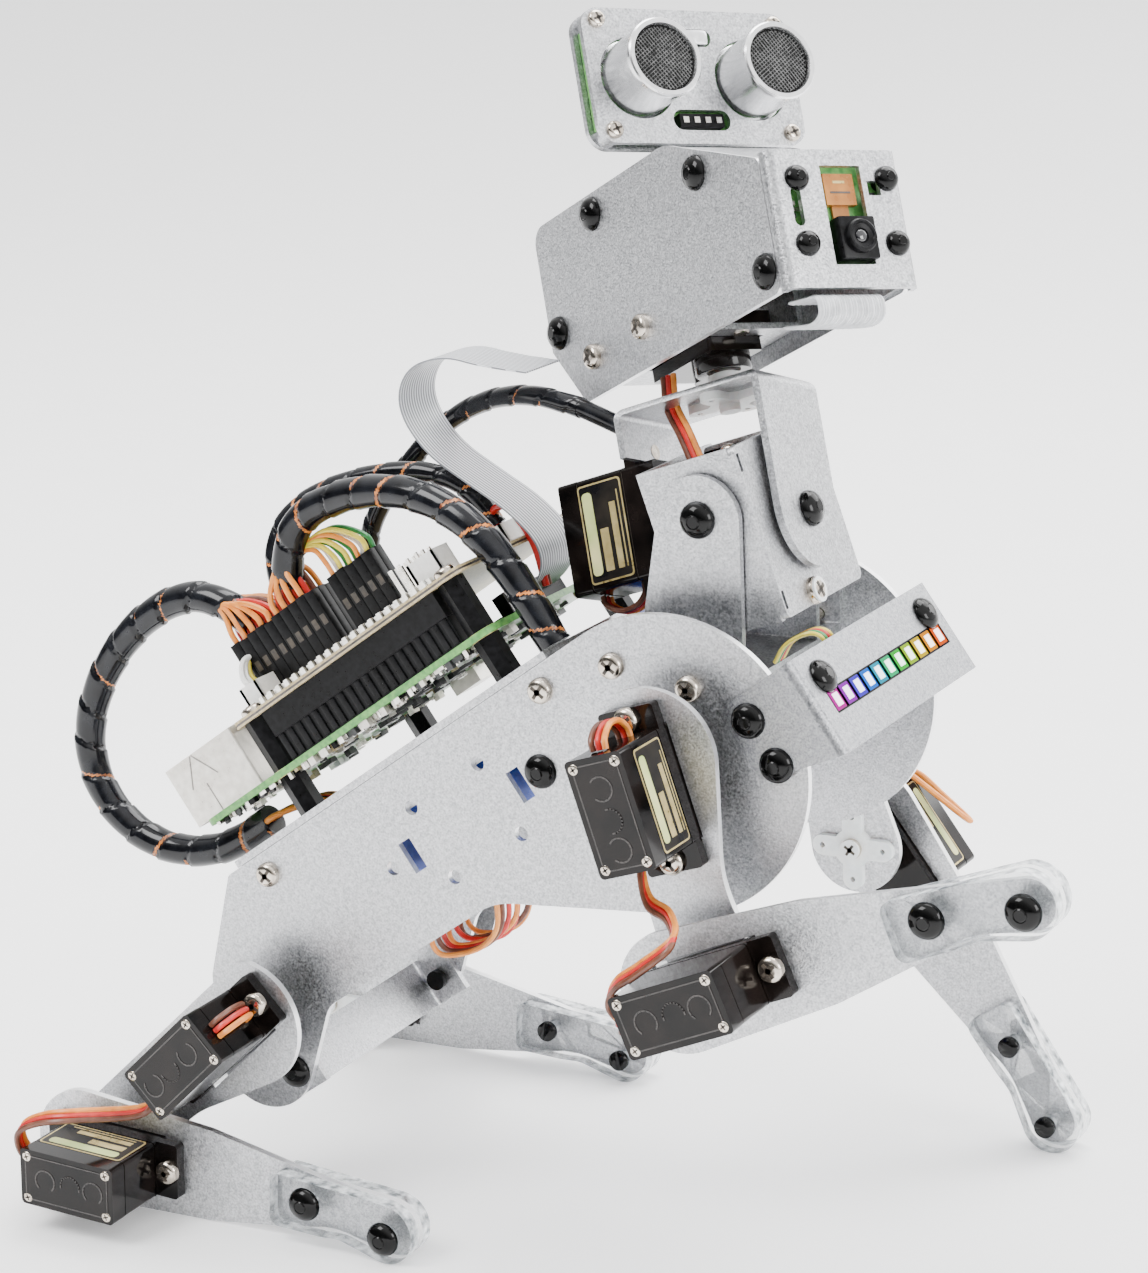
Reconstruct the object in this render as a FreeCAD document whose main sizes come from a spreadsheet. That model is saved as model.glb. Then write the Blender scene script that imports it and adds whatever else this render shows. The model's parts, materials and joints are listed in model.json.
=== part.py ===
import FreeCAD, Part
import math
import os
import re
import Sketcher
from FreeCAD import Placement, Rotation, Vector

# Four-legged robot kit, sitting on its haunches with the right front paw raised.
# Frame: +X towards the nose, +Y to the robot's left, +Z up, millimetres.
# Every link is modelled in its own frame and then placed by the joint angles below.

os.makedirs("parts", exist_ok=True)
doc = FreeCAD.newDocument("robot_dog_kit")
sheet = doc.addObject("Spreadsheet::Sheet", "Dimensions")

SIZES = [
    # (alias, value, meaning)
    ("footprint_x", 19.909, "middle of the footprint, forward of the point between the hips"),
    ("footprint_y", 0.0, "middle of the footprint, to the left"),
    ("body_tilt", 34.6, "nose-up tilt of the body, degrees"),
    ("hip_spread", 117.0, "front hip axis to rear hip axis"),
    ("upper_leg", 42.0, "hip axis to knee axis"),
    ("plate_thick", 1.5, "folded aluminium sheet"),
    ("body_half", 31.0, "middle plane to a side plate's outer face"),
    ("leg_step", 10.3, "from one plate's outer face to the next link's"),
    ("running_gap", 0.05, "radial clearance of a turning shaft"),
    ("front_right_hip", -72.4, "upper leg's direction from +X, degrees"),
    ("front_right_knee", 22.4, "lower leg's direction from +X, degrees"),
    ("front_left_hip", -82.4, "upper leg's direction from +X, degrees"),
    ("rear_hip", -137.0, "rear upper legs' direction from +X, degrees"),
    ("case_long", 22.8, "servo case, along the link"),
    ("case_wide", 12.2, "servo case, across the link"),
    ("case_deep", 18.5, "servo ears to the bottom of its case"),
    ("case_top", 4.0, "servo ears to the top of its case"),
    ("shaft_inset", 5.9, "case end to the output shaft"),
    ("ear_span", 32.2, "servo, over both ears"),
    ("ear_thick", 2.5, "servo ear"),
    ("ear_hole_gap", 27.8, "between the two ear screws"),
    ("boss_radius", 5.6, "gear housing round the shaft"),
    ("boss_tall", 3.0, "gear housing above the case"),
    ("shaft_radius", 2.4, "output shaft"),
    ("hub_radius", 3.4, "horn hub"),
    ("hub_hole", 3.7, "hole that a horn hub passes through"),
    ("horn_thick", 1.6, "horn arms"),
    ("horn_arm_wide", 4.4, "horn arms"),
    ("horn_reach", 6.8, "shaft to the centre of a horn arm's round end"),
    ("small_screw", 1.1, "hole for a servo ear screw"),
    ("screw_head", 2.5, "pan head radius"),
    ("screw_tall", 1.7, "pan head height"),
    ("screw_shank", 1.2, "screw radius"),
    ("screw_hole", 1.3, "hole for a frame screw"),
    ("rivet_head", 3.4, "push rivet's domed head, radius"),
    ("rivet_dome", 2.0, "push rivet's domed head, height"),
    ("small_rivet_head", 2.4, "radius of the smaller domed heads round the camera"),
    ("rivet_shank", 1.5, "push rivet's body radius"),
    ("rivet_hole", 1.6, "hole for a push rivet"),
    ("accessory_hole", 1.5, "spare hole in a side plate"),
    ("heel_back", 3.0, "knee axis back to the middle of the lower leg's round end"),
    ("heel_radius", 12.0, "lower leg's round end"),
    ("toe_reach", 71.3, "knee axis to the middle of the toe"),
    ("toe_drop", 1.6, "toe below the line of the leg"),
    ("toe_radius", 6.3, "clear pad's round toe"),
    ("pad_thick", 3.0, "clear foot pad"),
    ("roll_drop", 5.35, "neck pitch axis down to the roll axis"),
    ("yoke_top", 27.2, "roll axis up to the top of the yoke"),
    ("yoke_half", 11.3, "half the yoke's width"),
    ("head_lift", 44.7, "roll axis up to the middle of the face"),
    ("neck_lean", 18.4, "neck box leans back, degrees"),
    ("roll_rest", 17.5, "head rolled to the robot's left, degrees"),
    ("yaw_rest", 28.1, "head turned to the robot's right, degrees"),
    ("bracket_back", -19.8, "yoke's rear face, from the pitch axis"),
    ("bracket_front", 13.3, "yoke's front face, from the pitch axis"),
    ("roll_step", 8.9, "roll servo's ears to the neck box's rear face"),
    ("head_half", 14.5, "middle plane to a head plate's outer face"),
    ("head_sheet", 1.2, "head plates"),
    ("face_forward", 48.4, "yaw axis to the face"),
    ("servo_shelf", -7.2, "top of the shelf that carries the yaw servo"),
    ("board_long", 85.0, "computer board"),
    ("board_wide", 56.0, "computer board"),
    ("board_thick", 1.4, "circuit boards"),
    ("can_radius", 8.0, "ultrasonic can"),
    ("can_spread", 26.0, "between the two ultrasonic cans"),
    ("ribbon_wide", 14.0, "camera ribbon"),
    ("ribbon_thick", 0.5, "camera ribbon"),
    ("bundle_thick", 7.0, "spiral-wrapped cable bundle, diameter"),
    ("slim_bundle", 4.4, "cable bundle to the head, diameter"),
]
for row, (alias, value, meaning) in enumerate(SIZES, start=1):
    sheet.set(f"A{row}", meaning)
    sheet.set(f"B{row}", str(value))
    sheet.setAlias(f"B{row}", alias)
doc.recompute()
ALIASES = {alias for alias, value, meaning in SIZES}
VALUES = {alias: float(sheet.get(alias)) for alias in ALIASES}
NODES = []


def size(alias):
    """A driving dimension, read back from the sheet."""
    return VALUES[alias]


def formula(text):
    """An expression in which every alias points at the sheet."""
    return re.sub(r"[a-z_]+", lambda word: "Dimensions." + word[0] if word[0] in ALIASES else word[0], str(text))


def bind_place(solid, x, y, z):
    """Tie a solid's position to the sheet."""
    for axis, text in zip("xyz", (x, y, z)):
        solid.setExpression(".Placement.Base." + axis, formula(text))


def block(name, sizes, centre):
    """A box with bound sizes, given by its centre."""
    solid = doc.addObject("Part::Box", name)
    for field, text in zip(("Length", "Width", "Height"), sizes):
        solid.setExpression(field, formula(text))
    bind_place(solid, *(f"({middle}) - ({text}) / 2" for middle, text in zip(centre, sizes)))
    return solid


def rod(name, radius, tall, start, axis=(0, 0, 1)):
    """A cylinder with bound sizes that runs from start along axis."""
    solid = doc.addObject("Part::Cylinder", name)
    solid.setExpression("Radius", formula(radius))
    solid.setExpression("Height", formula(tall))
    solid.Placement = Placement(Vector(0, 0, 0), Rotation(Vector(0, 0, 1), Vector(*axis)))
    bind_place(solid, *start)
    return solid


def fuse(name, solids):
    joined = doc.addObject("Part::MultiFuse", name)
    joined.Shapes = solids
    return joined


def cut(name, base, tools):
    """Base less one or more tools."""
    carved = doc.addObject("Part::Cut", name)
    carved.Base = base
    carved.Tool = tools[0] if len(tools) == 1 else fuse(name + "_tools", tools)
    return carved


def common(name, first, second):
    shared = doc.addObject("Part::Common", name)
    shared.Base = first
    shared.Tool = second
    return shared


def group(name, solids):
    """Separate solids that share one node."""
    held = doc.addObject("Part::Compound", name)
    held.Links = solids
    return held


def shifted(solid, placement):
    solid.Placement = placement
    return solid


def frame(origin, x_axis, z_axis):
    """A placement whose own x and z run along the two given axes."""
    x_way, z_way = Vector(*x_axis).normalize(), Vector(*z_axis).normalize()
    return Placement(Vector(*origin), Rotation(x_way, z_way.cross(x_way), z_way, "XYZ"))


def turn(axis, degrees, spot=(0, 0, 0)):
    return Placement(Vector(*spot), Rotation(Vector(*axis), degrees))


def at(x, y, z):
    return Placement(Vector(x, y, z), Rotation())


def node(label, solid, placement):
    """Finish a sub-part: its file name and its place in the whole."""
    solid.Label = label
    solid.Placement = placement.multiply(solid.Placement)
    NODES.append(solid)
    return solid


def belt(rounds):
    """Lines and arcs of a belt laid round pulleys (x, z, radius), counter-clockwise.

    A radius of 0 is a sharp corner, and a negative one is a hollow corner.
    """
    normals = []
    for (x1, z1, r1), (x2, z2, r2) in zip(rounds, rounds[1:] + rounds[:1]):
        run = math.hypot(x2 - x1, z2 - z1)
        along = ((x2 - x1) / run, (z2 - z1) / run)
        lean = (r1 - r2) / run
        side = math.sqrt(1 - lean * lean)
        normals.append((lean * along[0] + side * along[1], lean * along[1] - side * along[0]))
    pieces = []
    for index, (x, z, radius) in enumerate(rounds):
        before, after = normals[index - 1], normals[index]
        after_x, after_z, after_r = rounds[(index + 1) % len(rounds)]
        if abs(radius) > 1e-6:
            start, end = math.atan2(before[1], before[0]), math.atan2(after[1], after[0])
            if radius < 0:
                start, end = end + math.pi, start + math.pi
            end += 2 * math.pi if end < start - 1e-9 else 0
            if end - start > 6.2:
                raise ValueError(f"the belt's corner at {x}, {z} turns the wrong way")
            circle = Part.Circle(Vector(x, z, 0), Vector(0, 0, 1), abs(radius))
            if end - start > 1e-4:
                pieces.append(Part.ArcOfCircle(circle, start, end))
        leave = Vector(x + radius * after[0], z + radius * after[1], 0)
        meet = Vector(after_x + after_r * after[0], after_z + after_r * after[1], 0)
        pieces.append(Part.LineSegment(leave, meet))
    return pieces


def pad(name, outline, thick, holes=(), windows=(), plane="XZ_Plane"):
    """A sheet or slab padded to both sides of one of the body's planes.

    Holes are (x, z, radius), with the radius bound to the sheet, and windows are belts.
    """
    body = doc.addObject("PartDesign::Body", name)
    sketch = body.newObject("Sketcher::SketchObject", name + "_sketch")
    base = [face for face in body.Origin.OriginFeatures if face.Role == plane][0]
    sketch.AttachmentSupport = [(base, "")]
    sketch.MapMode = "FlatFace"
    for rounds in [outline, *windows]:
        for piece in belt(rounds):
            sketch.addGeometry(piece)
    for x, z, radius in holes:
        circle = sketch.addGeometry(Part.Circle(Vector(x, z, 0), Vector(0, 0, 1), size(radius)))
        fixed = sketch.addConstraint(Sketcher.Constraint("Radius", circle, size(radius)))
        sketch.setExpression(f"Constraints[{fixed}]", formula(radius))
    solid = body.newObject("PartDesign::Pad", name + "_pad")
    solid.Profile = sketch
    solid.Midplane = True
    solid.setExpression("Length", formula(thick))
    sketch.Visibility = False
    return body


def rectangle(left, low, right, high, corner=0.0):
    """A belt round a rectangle, with rounded corners if asked."""
    left, low, right, high = left + corner, low + corner, right - corner, high - corner
    return [(left, low, corner), (right, low, corner), (right, high, corner), (left, high, corner)]


def channel(left, right, top, left_end, right_end, thick, bend):
    """Section of a folded sheet: two arms that hang down from a web, each to its own end."""
    inner = thick - bend
    return [
        (right, right_end, 0), (right - bend, top - bend, bend), (left + bend, top - bend, bend),
        (left, left_end, 0), (left + thick, left_end, 0), (left + bend, top - bend, inner),
        (right - bend, top - bend, inner), (right - thick, right_end, 0),
    ]


def screw(name, start, axis, long):
    """Pan-head screw: start is under the head, axis points out of the head."""
    place = frame(start, *across(axis))
    head = rod(name + "_head", "screw_head", "screw_tall", (0, 0, 0))
    shank = rod(name + "_shank", "screw_shank", f"{long}", (0, 0, -long))
    return shifted(fuse(name, [head, shank]), place)


def rivet(name, start, axis, long, tip=True, head="rivet_head"):
    """Push rivet: start is under the domed head, axis points out of the head."""
    dome = doc.addObject("Part::Ellipsoid", name + "_dome")
    dome.setExpression("Radius1", formula("rivet_dome"))
    dome.setExpression("Radius2", formula(head))
    dome.setExpression("Radius3", formula(head))
    dome.Angle1 = 0
    shank = rod(name + "_shank", "rivet_shank", f"{long}", (0, 0, -long))
    pieces = [dome, shank]
    if tip:
        pieces.append(rod(name + "_tip", "rivet_shank + 0.7", "1.4", (0, 0, f"-{long} - 1.4")))
    return shifted(fuse(name, pieces), frame(start, *across(axis)))


def across(axis):
    """Any direction square to axis, then axis."""
    helper = (1, 0, 0) if abs(axis[0]) < 0.9 else (0, 1, 0)
    square = Vector(*helper).cross(Vector(*axis))
    return (tuple(square), axis)


def tube(name, points, section):
    """Cable along straight runs joined by tangent arcs. Prints its length and its arcs.

    The section is a wire round the origin, square to +X.
    """
    ways = [Vector(*point) for point in points]
    pieces, radii = [], []
    start = ways[0]
    for before, corner, after in zip(ways, ways[1:], ways[2:]):
        come, leave = corner - before, after - corner
        half_turn = come.getAngle(leave) / 2
        reach = 0.45 * min(come.Length, leave.Length)
        radii.append(round(reach / math.tan(half_turn), 1))
        come.normalize()
        leave.normalize()
        enter, depart = corner - come * reach, corner + leave * reach
        inward = (leave - come).normalize()
        radius_here = reach / math.tan(half_turn)
        middle = corner + inward * (radius_here / math.cos(half_turn) - radius_here)
        pieces.append(Part.LineSegment(start, enter).toShape())
        pieces.append(Part.Arc(enter, middle, depart).toShape())
        start = depart
    pieces.append(Part.LineSegment(start, ways[-1]).toShape())
    path = Part.Wire(pieces)
    ring = section.copy()
    ring.Placement = frame(ways[0], ways[1] - ways[0], (ways[1] - ways[0]).cross(Vector(0, 1, 0)))
    cable = doc.addObject("Part::Feature", name)
    cable.Shape = path.makePipeShell([ring], True, False)
    ratio = cable.Shape.Volume / (Part.Face(section).Area * path.Length)
    print(f"cable {name}: length {path.Length:.1f}, volume ratio {ratio:.3f}, arc radii {radii}")
    return cable


def servo(name):
    """Servo with its two ear screws.

    Own frame: the shaft is the z axis, the ears lie on z = 0 with the case above them, and the
    case runs along +x.
    """
    middle = "case_long / 2 - shaft_inset"
    case = block(name + "_case", ("case_long", "case_wide", "case_deep + case_top"),
                 (middle, "0", "(case_deep - case_top) / 2"))
    ears = block(name + "_ears", ("ear_span", "case_wide", "ear_thick"), (middle, "0", "ear_thick / 2"))
    boss = rod(name + "_boss", "boss_radius", "boss_tall", ("0", "0", "-case_top - boss_tall"))
    idler = rod(name + "_idler", "2.6", "boss_tall", ("boss_radius + 0.8", "0", "-case_top - boss_tall"))
    bore = rod(name + "_bore", "shaft_radius + running_gap", "boss_tall + 0.4",
               ("0", "0", "-case_top - boss_tall - 0.1"))
    ear_holes = [rod(f"{name}_ear_hole_{end}", "small_screw", "ear_thick + 1",
                     (f"{middle} + {sign} * ear_hole_gap / 2", "0", "-0.5"))
                 for end, sign in (("near", -1), ("far", 1))]
    whole = cut(name + "_case_body", fuse(name + "_blank", [case, ears, boss, idler]), [bore, *ear_holes])
    solids = [whole]
    for end, sign in (("near", -1), ("far", 1)):
        spot = size("case_long") / 2 - size("shaft_inset") + sign * size("ear_hole_gap") / 2
        head = rod(f"{name}_ear_head_{end}", "screw_head", "screw_tall", (0, 0, 0))
        shank = rod(f"{name}_ear_shank_{end}", "small_screw - 0.1", "ear_thick + plate_thick + 1",
                    ("0", "0", "-ear_thick - plate_thick - 1"))
        fixing = fuse(f"{name}_ear_screw_{end}", [head, shank])
        solids.append(shifted(fixing, at(spot, 0, size("ear_thick"))))
    return group(name, solids)


def horn(name, step="leg_step", twist=0.0):
    """Cross horn with its shaft and centre screw, in the frame of the servo that turns it.

    The horn lies on the far face of the plate that stands step away from the servo's ears.
    """
    back = f"-({step}) - plate_thick"
    pieces = [rod(name + "_disc", "hub_radius + 0.8", "horn_thick", ("0", "0", f"{back} - horn_thick")),
              rod(name + "_hub", "hub_radius", f"({step}) + plate_thick - case_top - boss_tall - 0.4",
                  ("0", "0", back)),
              rod(name + "_shaft", "shaft_radius", "boss_tall + 0.4", ("0", "0", "-case_top - boss_tall - 0.4"))]
    for label, wide, deep in (("long", "2 * horn_reach", "horn_arm_wide"), ("cross", "horn_arm_wide", "2 * horn_reach")):
        pieces.append(block(f"{name}_{label}", (wide, deep, "horn_thick"), ("0", "0", f"{back} - horn_thick / 2")))
    for index, (x, y) in enumerate(((1, 0), (0, 1), (-1, 0), (0, -1))):
        pieces.append(rod(f"{name}_end_{index}", "horn_arm_wide / 2", "horn_thick",
                          (f"{x} * horn_reach", f"{y} * horn_reach", f"{back} - horn_thick")))
    pinholes = [rod(f"{name}_pinhole_{index}", "0.6", "horn_thick + 1",
                    (f"{x} * horn_reach", f"{y} * horn_reach", f"{back} - horn_thick - 0.5"))
                for index, (x, y) in enumerate(((1, 0), (0, 1), (-1, 0), (0, -1)))]
    whole = cut(name + "_cross_horn", fuse(name + "_blank", pieces), pinholes)
    head = rod(name + "_screw", "screw_shank + 0.9", "1.4", ("0", "0", f"{back} - horn_thick - 1.4"))
    return shifted(group(name, [whole, head]), turn((0, 0, 1), twist))


# ---------------------------------------------------------------- where every link stands

tilt = math.radians(size("body_tilt"))
half_spread = size("hip_spread") / 2


def resting_lower_leg():
    """Direction of a lower leg that lies on its heel and its toe, and its knee's height."""
    reach = size("toe_reach") + size("heel_back")
    drop = size("toe_radius") - size("heel_radius")
    span = math.hypot(reach, size("toe_drop"))
    direction = math.atan2(size("toe_drop"), reach) + math.asin(drop / span)
    return direction, size("heel_radius") + size("heel_back") * math.sin(direction)


rear_lower, rear_knee_height = resting_lower_leg()
rear_hip = math.radians(size("rear_hip"))
body_height = rear_knee_height + half_spread * math.sin(tilt) - size("upper_leg") * math.sin(rear_hip)
WHOLE = at(-size("footprint_x"), -size("footprint_y"), 0)
TORSO = WHOLE.multiply(turn((0, 1, 0), -size("body_tilt"), (0, 0, body_height)))


def link_frame(origin, direction):
    """Frame of a leg link: x along the link, y to the robot's left, z a quarter turn on from x."""
    return Placement(origin, Rotation(Vector(0, 1, 0), -math.degrees(direction)))


def leg_frames(front, hip_direction, knee_direction):
    hip = TORSO.multVec(Vector(half_spread if front else -half_spread, 0, 0))
    upper = link_frame(hip, hip_direction)
    knee = upper.multVec(Vector(size("upper_leg"), 0, 0))
    if knee_direction is None:
        span = math.hypot(size("toe_reach"), size("toe_drop"))
        lean = math.atan2(size("toe_drop"), size("toe_reach"))
        knee_direction = lean + math.asin((size("toe_radius") - knee.z) / span)
    return upper, link_frame(knee, knee_direction)


front_right_angles = [math.radians(size("front_right_" + joint)) for joint in ("hip", "knee")]
LEGS = {
    "front_right": (-1, leg_frames(True, *front_right_angles)),
    "front_left": (1, leg_frames(True, math.radians(size("front_left_hip")), None)),
    "rear_right": (-1, leg_frames(False, rear_hip, rear_lower)),
    "rear_left": (1, leg_frames(False, rear_hip, rear_lower)),
}
PITCH_AXIS = WHOLE.multVec(Vector(49.2, 0, 147.8))
NECK = link_frame(PITCH_AXIS, math.radians(size("neck_lean")))
YOKE = NECK.multiply(turn((1, 0, 0), -size("roll_rest"), (0, 0, -size("roll_drop"))))
HEAD = YOKE.multiply(turn((0, 0, 1), -size("yaw_rest"), (0, 0, size("head_lift"))))


def servo_frame(side, outer_face):
    """Frame of a leg servo on a plate: its case stands outwards, along the link."""
    return turn((1, 0, 0), -90 * side, (0, side * outer_face, 0))


# ---------------------------------------------------------------- legs

hip_face = size("body_half") + size("leg_step")
knee_face = hip_face + size("leg_step")
servo_window = rectangle(-size("shaft_inset") - 0.3, -size("case_wide") / 2 - 0.3,
                         size("case_long") - size("shaft_inset") + 0.3, size("case_wide") / 2 + 0.3)
ear_middle = size("case_long") / 2 - size("shaft_inset")
ear_spots = [(ear_middle + sign * size("ear_hole_gap") / 2, 0, "small_screw") for sign in (-1, 1)]
FOOT_SPOTS = [(52.8, 0.7), (71.1, -2.6)]


def upper_leg_outline():
    """Round about the hip, waisted in front, straight behind, and round about the knee."""
    waist = (27.5, 32.6, -25.0)
    return [(0, 0.5, 13.6), (-7.0, -4.5, 5.1), (size("upper_leg"), 0, 10.0), waist]


def lower_leg_outline():
    """Round about the knee, tapering to a toe that drops a little."""
    shin = [(27, 0, 10.1), (46, 0, 7.0)]
    toe = [(58, -22, -17.2), (size("toe_reach"), -size("toe_drop") - 0.6, 4.8), (60, -1.0, 5.6)]
    return [(-size("heel_back"), 0, size("heel_radius")), *shin, *toe, *shin[::-1]]


def pad_outline():
    """Clear pad: a square-shouldered heel end and a round toe with a dip under the arch."""
    return [(46.5, -3.5, 2.2), (56, -3.3, 2.4), (60, -14.0, -8.6),
            (size("toe_reach"), -size("toe_drop"), size("toe_radius")), (46.7, 3.6, 2.2)]


for leg, (side, (upper, lower)) in LEGS.items():
    out = (0, side, 0)
    on_hip, on_knee = servo_frame(side, hip_face), servo_frame(side, knee_face)
    node(leg + "_hip_servo", servo(leg + "_hip_servo"), upper.multiply(on_hip))
    node(leg + "_knee_servo", servo(leg + "_knee_servo"), lower.multiply(on_knee))
    node(leg + "_upper_leg",
         pad(leg + "_upper_leg", upper_leg_outline(), "plate_thick", windows=[servo_window],
             holes=[*ear_spots, (size("upper_leg"), 0, "hub_hole")]),
         upper.multiply(at(0, side * (hip_face - size("plate_thick") / 2), 0)))
    node(leg + "_lower_leg",
         pad(leg + "_lower_leg", lower_leg_outline(), "plate_thick", windows=[servo_window],
             holes=[*ear_spots, *[(x, z, "rivet_hole") for x, z in FOOT_SPOTS]]),
         lower.multiply(at(0, side * (knee_face - size("plate_thick") / 2), 0)))
    knee_horn = horn(leg + "_knee_horn")
    node(leg + "_knee_horn", knee_horn, link_frame(lower.Base, math.radians(90)).multiply(on_knee))
    foot = []
    for name, face, way in (("outer", knee_face, 1), ("inner", knee_face - size("plate_thick"), -1)):
        slab = pad(f"{leg}_{name}_pad", pad_outline(), "pad_thick",
                   holes=[(x, z, "rivet_hole") for x, z in FOOT_SPOTS])
        foot.append(shifted(slab, at(0, side * (face + way * size("pad_thick") / 2), 0)))
    grip = 2 * size("pad_thick") + size("plate_thick")
    for index, (x, z) in enumerate(FOOT_SPOTS):
        spot = (x, side * (knee_face + size("pad_thick")), z)
        foot.append(rivet(f"{leg}_foot_rivet_{index}", spot, out, grip))
    node(leg + "_foot_pads", group(leg + "_foot_pads", foot), lower)

# ---------------------------------------------------------------- torso

DISC = (54.8, -2.8, 29.6)
TOP_EDGE = DISC[1] + DISC[2]
SIDE_SCREWS = [(-40.0, 22.3), (40.0, 22.3), (56.5, 18.7), (68.2, 7.1)]
STRAP_SPOT = (-61.4, -14.7)
CHEST_SPOTS = [(76.2, -4.0), (76.2, -13.8)]
GRID = (8.8, 9.35)
GRID_RIVET = (GRID[0] + 21.2, GRID[1])
SPARE_HOLES = [(GRID[0] + x, GRID[1] + z) for x, z in ((9.55, 8.1), (-9.55, 8.1), (9.55, -8.1), (-9.55, -8.1))]
SPARE_HOLES.append((GRID[0] - 21.2, GRID[1]))


def side_outline():
    """Big disc about the front hip, straight back, and a round lobe behind the rear hip."""
    return [DISC, (-48.6, TOP_EDGE - 1.5, 1.5), (-64.5, 9.6, 3.0), (-66.0, -8.5, 11.5), (-43.0, -13.0, -6.0),
            (0.0, -22.2, -15.0)]


side_holes = [(x, z, "screw_hole") for x, z in SIDE_SCREWS]
side_holes += [(x, z, "rivet_hole") for x, z in (STRAP_SPOT, *CHEST_SPOTS, GRID_RIVET)]
side_holes += [(x, z, "accessory_hole") for x, z in SPARE_HOLES]
side_holes += [(half_spread, 0, "hub_hole"), (-half_spread, 0, "hub_hole")]
slots = [rectangle(GRID[0] + x - 1.6, GRID[1] - 3.4, GRID[0] + x + 1.6, GRID[1] + 3.4) for x in (15.5, -15.5)]
plate_middle = size("body_half") - size("plate_thick") / 2
for name, side in (("side_plate_right", -1), ("side_plate_left", 1)):
    plate = pad(name, side_outline(), "plate_thick", holes=side_holes, windows=slots)
    node(name, plate, TORSO.multiply(at(0, side * plate_middle, 0)))

inside = size("body_half") - size("plate_thick")
thick = size("plate_thick")
fasteners = []

# Rear cross strap: a channel that opens forward, riveted inside both rear lobes.
strap_section = channel(-inside, inside, 10.0, 0, 0, thick, 2.5)
strap = pad("strap_fold", strap_section, "11")
strap_place = frame((STRAP_SPOT[0] + 4.5, 0, STRAP_SPOT[1] + 0.5), (0, 1, 0), (-1, 0, 0))
strap_holes = [rod(f"strap_hole_{way}", "rivet_hole", "4", (STRAP_SPOT[0], f"{way} * {inside - 3.5}", STRAP_SPOT[1]),
                   (0, way, 0)) for way in (-1, 1)]
node("rear_strap", cut("rear_strap", shifted(strap, strap_place), strap_holes), TORSO)
for way in (-1, 1):
    start = (STRAP_SPOT[0], way * size("body_half"), STRAP_SPOT[1])
    fasteners.append(rivet(f"strap_rivet_{way}", start, (0, way, 0), 4.0))

# Deck: top sheet that carries the boards, with flanges screwed inside the side plates.
DECK_BACK, DECK_FRONT, DECK_TOP = -46.0, 45.0, TOP_EDGE + thick + 0.1
BOARD_HOLES = [(x, y) for x in (-26.5, 31.5) for y in (-24.5, 24.5)]
deck_section = channel(-inside, inside, DECK_TOP, 17.5, 17.5, thick, 2.0)
deck_fold = pad("deck_fold", deck_section, f"{DECK_FRONT - DECK_BACK}")
deck_place = frame(((DECK_BACK + DECK_FRONT) / 2, 0, 0), (0, 1, 0), (0, 0, 1))
eaves = [block(f"deck_eave_{way}", (f"{DECK_FRONT - DECK_BACK}", "3.5", "plate_thick"),
               (f"{(DECK_BACK + DECK_FRONT) / 2}", f"{way * (size('body_half') - 1.75)}", f"{DECK_TOP} - plate_thick / 2"))
         for way in (-1, 1)]
deck_holes = [rod(f"deck_hole_{index}", "screw_hole", "4", (x, y, DECK_TOP - 2))
              for index, (x, y) in enumerate(BOARD_HOLES)]
deck_holes += [rod(f"deck_side_hole_{way}_{index}", "screw_hole", "4", (x, way * (inside - 3), z), (0, way, 0))
               for way in (-1, 1) for index, (x, z) in enumerate(SIDE_SCREWS[:2])]
deck_holes.append(block("deck_cable_gap", ("12", "24", "6"), (f"{DECK_BACK + 17}", "4", f"{DECK_TOP - 1}")))
node("deck_plate", cut("deck_plate", fuse("deck_blank", [shifted(deck_fold, deck_place), *eaves]), deck_holes), TORSO)
for way in (-1, 1):
    for index, (x, z) in enumerate(SIDE_SCREWS):
        start = (x, way * size("body_half"), z)
        fasteners.append(screw(f"side_screw_{way}_{index}", start, (0, way, 0), 5.0))
    grid_start = (GRID_RIVET[0], way * size("body_half"), GRID_RIVET[1])
    fasteners.append(rivet(f"grid_rivet_{way}", grid_start, (0, way, 0), 4.0))

# Chest bracket: a channel round the front that carries the light board.
chest_half = size("body_half") + thick + 0.05
CHEST_FRONT, CHEST_BACK, CHEST_MIDDLE = 90.0, 71.6, -8.8
chest_fold = pad("chest_fold", channel(-chest_half, chest_half, CHEST_FRONT, CHEST_BACK, CHEST_BACK, thick, 2.0), "20")
chest_place = frame((0, 0, CHEST_MIDDLE), (0, 1, 0), (1, 0, 0))
chest_side = pad("chest_side", [(CHEST_BACK + 2, CHEST_MIDDLE + 7.5, 2.0), (CHEST_BACK + 2, CHEST_MIDDLE - 4.5, 2.0),
                                (CHEST_FRONT, CHEST_MIDDLE - 10, 0), (CHEST_FRONT, CHEST_MIDDLE + 10, 0)],
                 f"{2 * chest_half + 2}")
LIGHT_SPOTS = [(-24.5, -4.4), (24.5, -4.4)]
chest_holes = [rod(f"chest_hole_{way}_{index}", "rivet_hole", "4", (x, way * (chest_half - 3), z), (0, way, 0))
               for way in (-1, 1) for index, (x, z) in enumerate(CHEST_SPOTS)]
chest_holes += [rod(f"light_hole_{index}", "rivet_hole", "4", (CHEST_FRONT - 3, y, z), (1, 0, 0))
                for index, (y, z) in enumerate(LIGHT_SPOTS)]
chest_holes.append(block("light_window", ("6", "54", "4.8"), (f"{CHEST_FRONT}", "0.4", "-9.4")))
chest = common("chest_shape", shifted(chest_fold, chest_place), chest_side)
node("chest_bracket", cut("chest_bracket", chest, chest_holes), TORSO)
for way in (-1, 1):
    for index, (x, z) in enumerate(CHEST_SPOTS):
        fasteners.append(rivet(f"chest_rivet_{way}_{index}", (x, way * chest_half, z), (0, way, 0), 5.5))
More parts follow.
